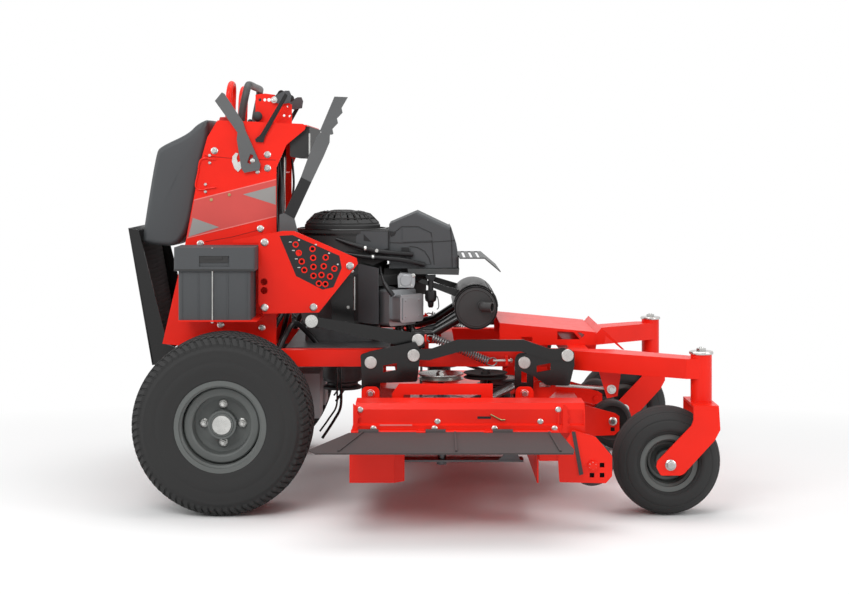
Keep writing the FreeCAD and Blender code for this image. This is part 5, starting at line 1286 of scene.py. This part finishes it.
    def exhaust(self) -> None:
        """Rolled end seams, three rows of dark discs for the shield's holes (the black muffler behind,
        darkened further as painted shade), and the tail pipe's clamp.
        """
        x, z = 202.0, 609.0
        seams = [lathe([(y - 2.5, 68), (y - 2.5, 72.4), (y + 2.5, 72.4), (y + 2.5, 68)], "Y", (x, 0, z),
                       64, True)
                 for y in (-222.5, 222.5)]
        seams.append(lathe([(-225.8, 58), (-227.2, 60), (-225.8, 62)], "Y", (x, 0, z), 56))
        place("muffler_seams", joined(seams), MUFFLER)
        # Dark discs in the holes: the black muffler seen through them, with painted shade on top.
        holes = []
        for row, turn in enumerate((26, 40, 54)):
            spot = disc(75.7, 0, 0, 3.6, 0.9, "X", 10).turned("Y", -turn)
            holes += [spot.moved(x, 24 * step - 165 + 12 * (row % 2), z) for step in range(14)]
        place("shield_hole_shade", joined(holes), SCALE_BLACK_AND_SHADE)
        place("tail_clamp", band(10, 16.4, 18, "Y", (x + 22, -257, z + 6), 28), MUFFLER)

    def heads(self) -> None:
        """A raised plate with four screws on each rocker cover."""
        corners = np.radians([45, 135, 225, 315])
        heads = [screw(344.2, 43.7 * math.cos(turn), 610 + 38 * math.sin(turn), 6, "X", 1)
                 for turn in corners]
        plate = slab([(-44, 574), (44, 574), (44, 646), (-44, 646)], 344, 347, "X")
        cover = joined([plate, *heads]).turned("Z", self.turn).moved(self.x)
        place("rocker_covers", cover.both(), ALUMINIUM)

    def build(self) -> None:
        """Everything round the engine."""
        for job in (self.shroud, self.hoses, self.fuel_parts, self.cleaner, self.screen, self.exhaust,
                    self.heads):
            job()


@dataclass
class Deck:
    """Screws, hinge trim, rollers' spokes and bolts, toothed plates, pulleys and idlers of the deck.

    Attributes:
        near: Y of the discharge side's face.
    """

    near: float = -762.0

    def hinge(self) -> None:
        """The chute channel's screws, painted shade in its slot, a painted highlight along its slit, and
        its wire hook.
        """
        spots = [(x, self.near, 296.5) for x in (-122.8, 60, 239.7, 419.5)]
        spots += [(-163, -754, 352), (68.9, -754, 316), (377.5, -754, 316), (431.5, -754, 352)]
        place("hinge_screws", screws(spots, 9), ZINC, "deck")
        # A dark block in the slot: painted shade.
        place("channel_slot_shade", block((189, -755.2, 325), (229, -753.6, 332)), SCALE_BLACK_AND_SHADE, "deck")
        # A pale strip along the slit: painted highlight.
        place("channel_slit_highlight", block((-104, -763, 305), (-7, -761.6, 309.5)), STRIPE_EDGE_AND_HIGHLIGHT, "deck")
        hook = pipe([(228, -757, 338), (244, -759, 330), (256, -759, 324), (262, -757, 322),
                     (272, -757, 322)], 24, 2.6, 8)
        place("chute_hook", hook, BRASS, "deck")

    def rollers(self) -> None:
        """Bolts of the ears and rollers, the rollers' spokes, the rubber strap and the toothed plates."""
        ears = [(x, -429, 353) for x in (-143, 351)]
        place("ear_bolts", screws(ears, 13).both(), ZINC, "deck")
        outer = joined([screw(531, -786.6, 191, 14.5), screw(650, -293, 242, 14)])
        place("roller_bolts", outer.both(), ZINC, "deck")
        spoke = slab([(20, -5), (49, -4), (49, 4), (20, 5)], -27, -14, "Z")
        wheel = joined([spoke.turned("Z", turn) for turn in range(0, 360, 72)]).turned("X", 90)
        for side in Side:
            hub = wheel if side is Side.RIGHT else wheel.mirrored()
            for end, x, y, z in (("nose", 650, 250, 242), ("corner", 531, 746, 191)):
                place(f"{end}_spokes_{side.word}", hub.moved(x, side.value * y, z), PLASTIC,
                      f"{end}_roller_{side.word}")
        strap = [(468, 292), (479, 292), (503, 166), (491, 162)]
        place("rubber_strap", slab(strap, -791, -787.3), CHUTE, "deck")
        teeth = [(-184, 284), (-170, 284), (-170, 300), (-162, 306), (-170, 314), (-170, 326),
                 (-162, 332), (-170, 340), (-170, 362), (-184, 372)]
        plate = slab(teeth, -766, -762.3)
        place("toothed_plates", joined([plate, plate.moved(628)]), RED, "deck")

    def pulleys(self) -> None:
        """The spindle pulleys' faces, the two idlers on their posts, and the belt's spring."""
        for name, x, y in (("right", 85, -495), ("left", 85, 495), ("middle", 285, 0)):
            place(f"pulley_face_{name}", band(3, 32, 64, "Z", (x, y, 344.5), 40), ZINC, f"rotor_{name}")
        for name, x, y, z, finish in (("silver", 84, -298, 396, ZINC),
                                      ("black", 240, -60, 368, PLASTIC)):
            sheave = lathe([(-14, 0), (-14, 74), (-11, 76), (-4, 62), (3, 76), (6, 74), (4, 60),
                            (-1, 34), (-1, 0)], "Z", (x, y, z), 48)
            hub = lathe([(-2, 0), (-2, 16), (7, 15), (9, 12), (14, 11), (14, 0)], "Z", (x, y, z), 24)
            place(f"idler_{name}", joined([sheave, hub]), finish, "deck")
            post = [(270.5 - z, 0), (270.5 - z, 26), (276 - z, 24), (278 - z, 11), (-15, 11), (-15, 0)]
            place(f"idler_post_{name}", lathe(post, "Z", (x, y, z), 24), BLACK_PAINT, "deck")
        place("belt_spring", coil((248, -450, 346), (316, -450, 380), 8.5, 2.2, 16), SPRING, "deck")

    def build(self) -> None:
        """Every deck fastener and trim."""
        self.hinge()
        self.rollers()
        self.pulleys()


@dataclass
class Linkage:
    """Plated pin heads, springs and their rods along the deck lift.

    Attributes:
        plane: of the long links' pin heads, from the midline.
    """

    plane: float = 416.0

    def build(self) -> None:
        """Heads on each pin, and the two lift springs behind the long links."""
        for body, x in (("crank_rear", -143), ("crank_front", 351)):
            spots = ((x, self.plane, 451), (x + 138, self.plane + 9, 475))
            caps = [disc(x, -y, z, 19.6, -5.8, steps=36) for x, y, z in spots]
            place(f"pin_heads_{body}", joined(caps).both(), ZINC, body)
        place("pin_head_lift", disc(9, -392, 521, 19.6, -5.8, steps=36), ZINC, "crank_rear")
        place("pin_head_lever", disc(-335, -381, 581, 16, -9.2, steps=32), ZINC, "lift_handle")
        place("stay_bolts", screws([(636, -373.4, 359)], 15).both(), ZINC, "stays")
        y = -384.0
        spring = coil((56, y, 527), (238, y, 450), 12.0, 2.6, 24)
        upper = [(62, y, 530), (46, y, 534), (38, y, 530), (38, y, 520), (46, y, 514)]
        lower = [(232, y, 441), (250, y, 436), (262, y, 444), (262, y, 456), (250, y, 462), (240, y, 458)]
        hooks = [pipe(upper, 20, 2.3, 8), pipe(lower, 24, 2.3, 8)]
        place("lift_springs", joined([spring, *hooks]).both(), SPRING)
        rod = joined([tube([(252, y, 453), (308, y, 453)], 4.4, 10), screw(308, y, 453, 9, "X", 1)])
        place("spring_rods", rod.both(), ZINC)
        lugs = [block((292, y - 8, 440), (300, -354.6, 466)), block((30, y - 6, 515), (36, -354.6, 535)),
                block((22, -360, 470), (44, -355.2, 530))]
        place("spring_lugs", joined(lugs).both(), RED)


@dataclass
class Chassis:
    """Brake rods, hose runs, and the platform's mat ribs and edges."""

    def build(self) -> None:
        """Everything else on the frame."""
        rods = [pipe([(-240, -385, 430), (-240, -388, 380), (-241, -390, 306), (-262, -392, 262),
                      (-300, -394, 204)], 40, 4.5, 8),
                pipe([(-252, -385, 430), (-253, -388, 380), (-254, -390, 310), (-278, -392, 268),
                      (-308, -394, 226)], 40, 3.0, 8)]
        place("brake_rods", joined(rods).both(), BLACK_PAINT)
        for side in Side:
            s = side.value
            hose = [pipe([(-470, s * 330, 420), (-430, s * 300, 520), (-400, s * 250, 560),
                          (-360, s * 190, 520), (-320, s * 170, 470)], 40, 9, 12),
                    pipe([(-500, s * 300, 430), (-470, s * 270, 540), (-440, s * 210, 600),
                          (-440, s * 150, 640)], 40, 9, 12)]
            place(f"drive_hoses_{side.word}", joined(hose), PLASTIC_GLOSS)
        lean = math.degrees(math.atan2(78, 447))
        ribs = [block((0, -216, along), (2.2, 216, along + 7)) for along in range(20, 420, 16)]
        mat = joined(ribs).turned("Y", -lean).moved(-857.6, 0, 433)
        place("mat_ribs", mat, MAT_RUBBER, "platform_arm")
        edge = tube([(-946, -268, 872), (-868, -268, 424)], 3.2, 8)
        place("platform_edges", edge.both(), BLACK_PAINT, "platform_arm")


# ---------------------------------------------------------------- studio

@dataclass(frozen=True)
class Lamp:
    """A rectangular soft box aimed at a point.

    Attributes:
        name: the lamp's name.
        spot: where it is, in metres.
        target: the point it faces.
        size: its width and height.
        power: in watts.
    """

    name: str
    spot: Point
    target: Point
    size: tuple[float, float]
    power: float

    def build(self) -> None:
        """Add the lamp."""
        data = bpy.data.lights.new(self.name, "AREA")
        data.shape = "RECTANGLE"
        data.size, data.size_y = self.size
        data.energy = self.power
        lamp = bpy.data.objects.new(self.name, data)
        lamp.location = self.spot
        aim = Vector(self.target) - Vector(self.spot)
        lamp.rotation_euler = aim.to_track_quat("-Z", "Y").to_euler()
        bpy.context.scene.collection.objects.link(lamp)


@dataclass(frozen=True)
class Studio:
    """White sweep, soft boxes and the camera.

    Attributes:
        distance: from the camera to the machine's midline, in metres.
        height: of the camera above the floor.
        ahead: of the camera along the machine.
        lens: focal length in millimetres on a 36 mm sensor.
        shift: vertical shift that frames the machine.
        fill: strength of the even light from the world.
        reach: half of the floor's width.
        fade: where the paper starts to fade to white, and where it has.
        lamps: the soft boxes.
    """

    distance: float = 5.48
    height: float = 1.09
    ahead: float = 0.03
    lens: float = 66.8
    shift: float = -0.157
    fill: float = 0.5
    reach: float = 30.0
    fade: tuple[float, float] = (0.75, 1.9)
    lamps: tuple[Lamp, ...] = (
        Lamp("key_box", (-1.4, -3.6, 3.4), (0.0, 0.0, 0.5), (2.4, 2.0), 88),
        Lamp("top_box", (0.2, 0.4, 4.2), (0.0, 0.0, 0.3), (3.6, 2.6), 66),
        Lamp("front_box", (3.6, -2.2, 1.9), (0.4, 0.0, 0.4), (1.6, 2.0), 38),
        Lamp("rear_box", (-3.8, -1.0, 2.2), (-0.6, 0.0, 0.7), (1.6, 2.0), 32))

    def camera(self) -> None:
        """Place the camera square to the machine's right side."""
        data = bpy.data.cameras.new("camera")
        data.lens = self.lens
        data.shift_y = self.shift
        camera = bpy.data.objects.new("camera", data)
        bpy.context.scene.collection.objects.link(camera)
        camera.location = (self.ahead, MIDLINE - self.distance, self.height)
        camera.rotation_euler = (math.pi / 2, 0, 0)
        bpy.context.scene.camera = camera

    @staticmethod
    def seen(graph: Graph) -> Value:
        """One for rays from the camera and for mirrored and refracted rays, nought for the light's."""
        camera, glossy, through = (graph.add("ShaderNodeLightPath", output=name)
                                   for name in ("Is Camera Ray", "Is Glossy Ray", "Is Transmission Ray"))
        return (camera + glossy + through).clamped(0.0, 1.0)

    def floor(self) -> None:
        """Pale paper that takes the shadow near the machine and fades to the white backdrop."""
        half = self.reach
        mesh = bpy.data.meshes.new("floor")
        corners = [(-half, -half, 0), (half, -half, 0), (half, half, 0), (-half, half, 0)]
        mesh.from_pydata(corners, [], [(0, 1, 2, 3)])
        floor = bpy.data.objects.new("floor", mesh)
        bpy.context.scene.collection.objects.link(floor)
        graph = Graph("floor_paper")
        spread = graph.add("ShaderNodeVectorMath", {"operation": "MULTIPLY"},
                           {0: graph.position(), 1: (0.6, 1.0, 0.0)})
        distance = graph.add("ShaderNodeVectorMath", {"operation": "LENGTH"}, {0: spread}, "Value")
        paper = graph.add("ShaderNodeBsdfPrincipled", {}, {
            "Base Color": (0.92, 0.92, 0.92, 1), "Roughness": 0.9, "Specular IOR Level": 0.1})
        white = graph.add("ShaderNodeEmission", {}, {"Color": (1, 1, 1, 1), "Strength": 1.0})
        faded = distance.clamped(*self.fade) * self.seen(graph)
        blend = graph.add("ShaderNodeMixShader", {}, {0: faded, 1: paper, 2: white})
        graph.add("ShaderNodeOutputMaterial", {}, {"Surface": blend})
        mesh.materials.append(graph.material)

    def world(self) -> None:
        """White to the camera and to mirrors, a dimmer even light to everything else."""
        world = bpy.data.worlds.new("studio")
        bpy.context.scene.world = world
        world.use_nodes = True
        graph = Graph.of(world.node_tree)
        sky = graph.add("ShaderNodeBackground", {}, {"Color": (1, 1, 1, 1), "Strength": self.fill})
        white = graph.add("ShaderNodeBackground", {}, {"Color": (1, 1, 1, 1), "Strength": 1.0})
        blend = graph.add("ShaderNodeMixShader", {}, {0: self.seen(graph), 1: sky, 2: white})
        graph.add("ShaderNodeOutputWorld", {}, {"Surface": blend})

    def build(self) -> None:
        """Floor, world, camera and lamps."""
        self.floor()
        self.world()
        self.camera()
        for lamp in self.lamps:
            lamp.build()


def main() -> None:
    """Build the whole look in order."""
    logging.basicConfig(level=logging.INFO)
    bpy.context.scene.view_settings.view_transform = "Standard"
    dress_nodes()
    for side in Side:
        DriveWheel(side).build()
        Caster(side).build()
    for assembly in (Tower, HeightPlate, Console, KneePad, SideBoxes, Engine, Deck, Linkage, Chassis):
        assembly().build()
    Studio().build()


if __name__ == "__main__":
    main()
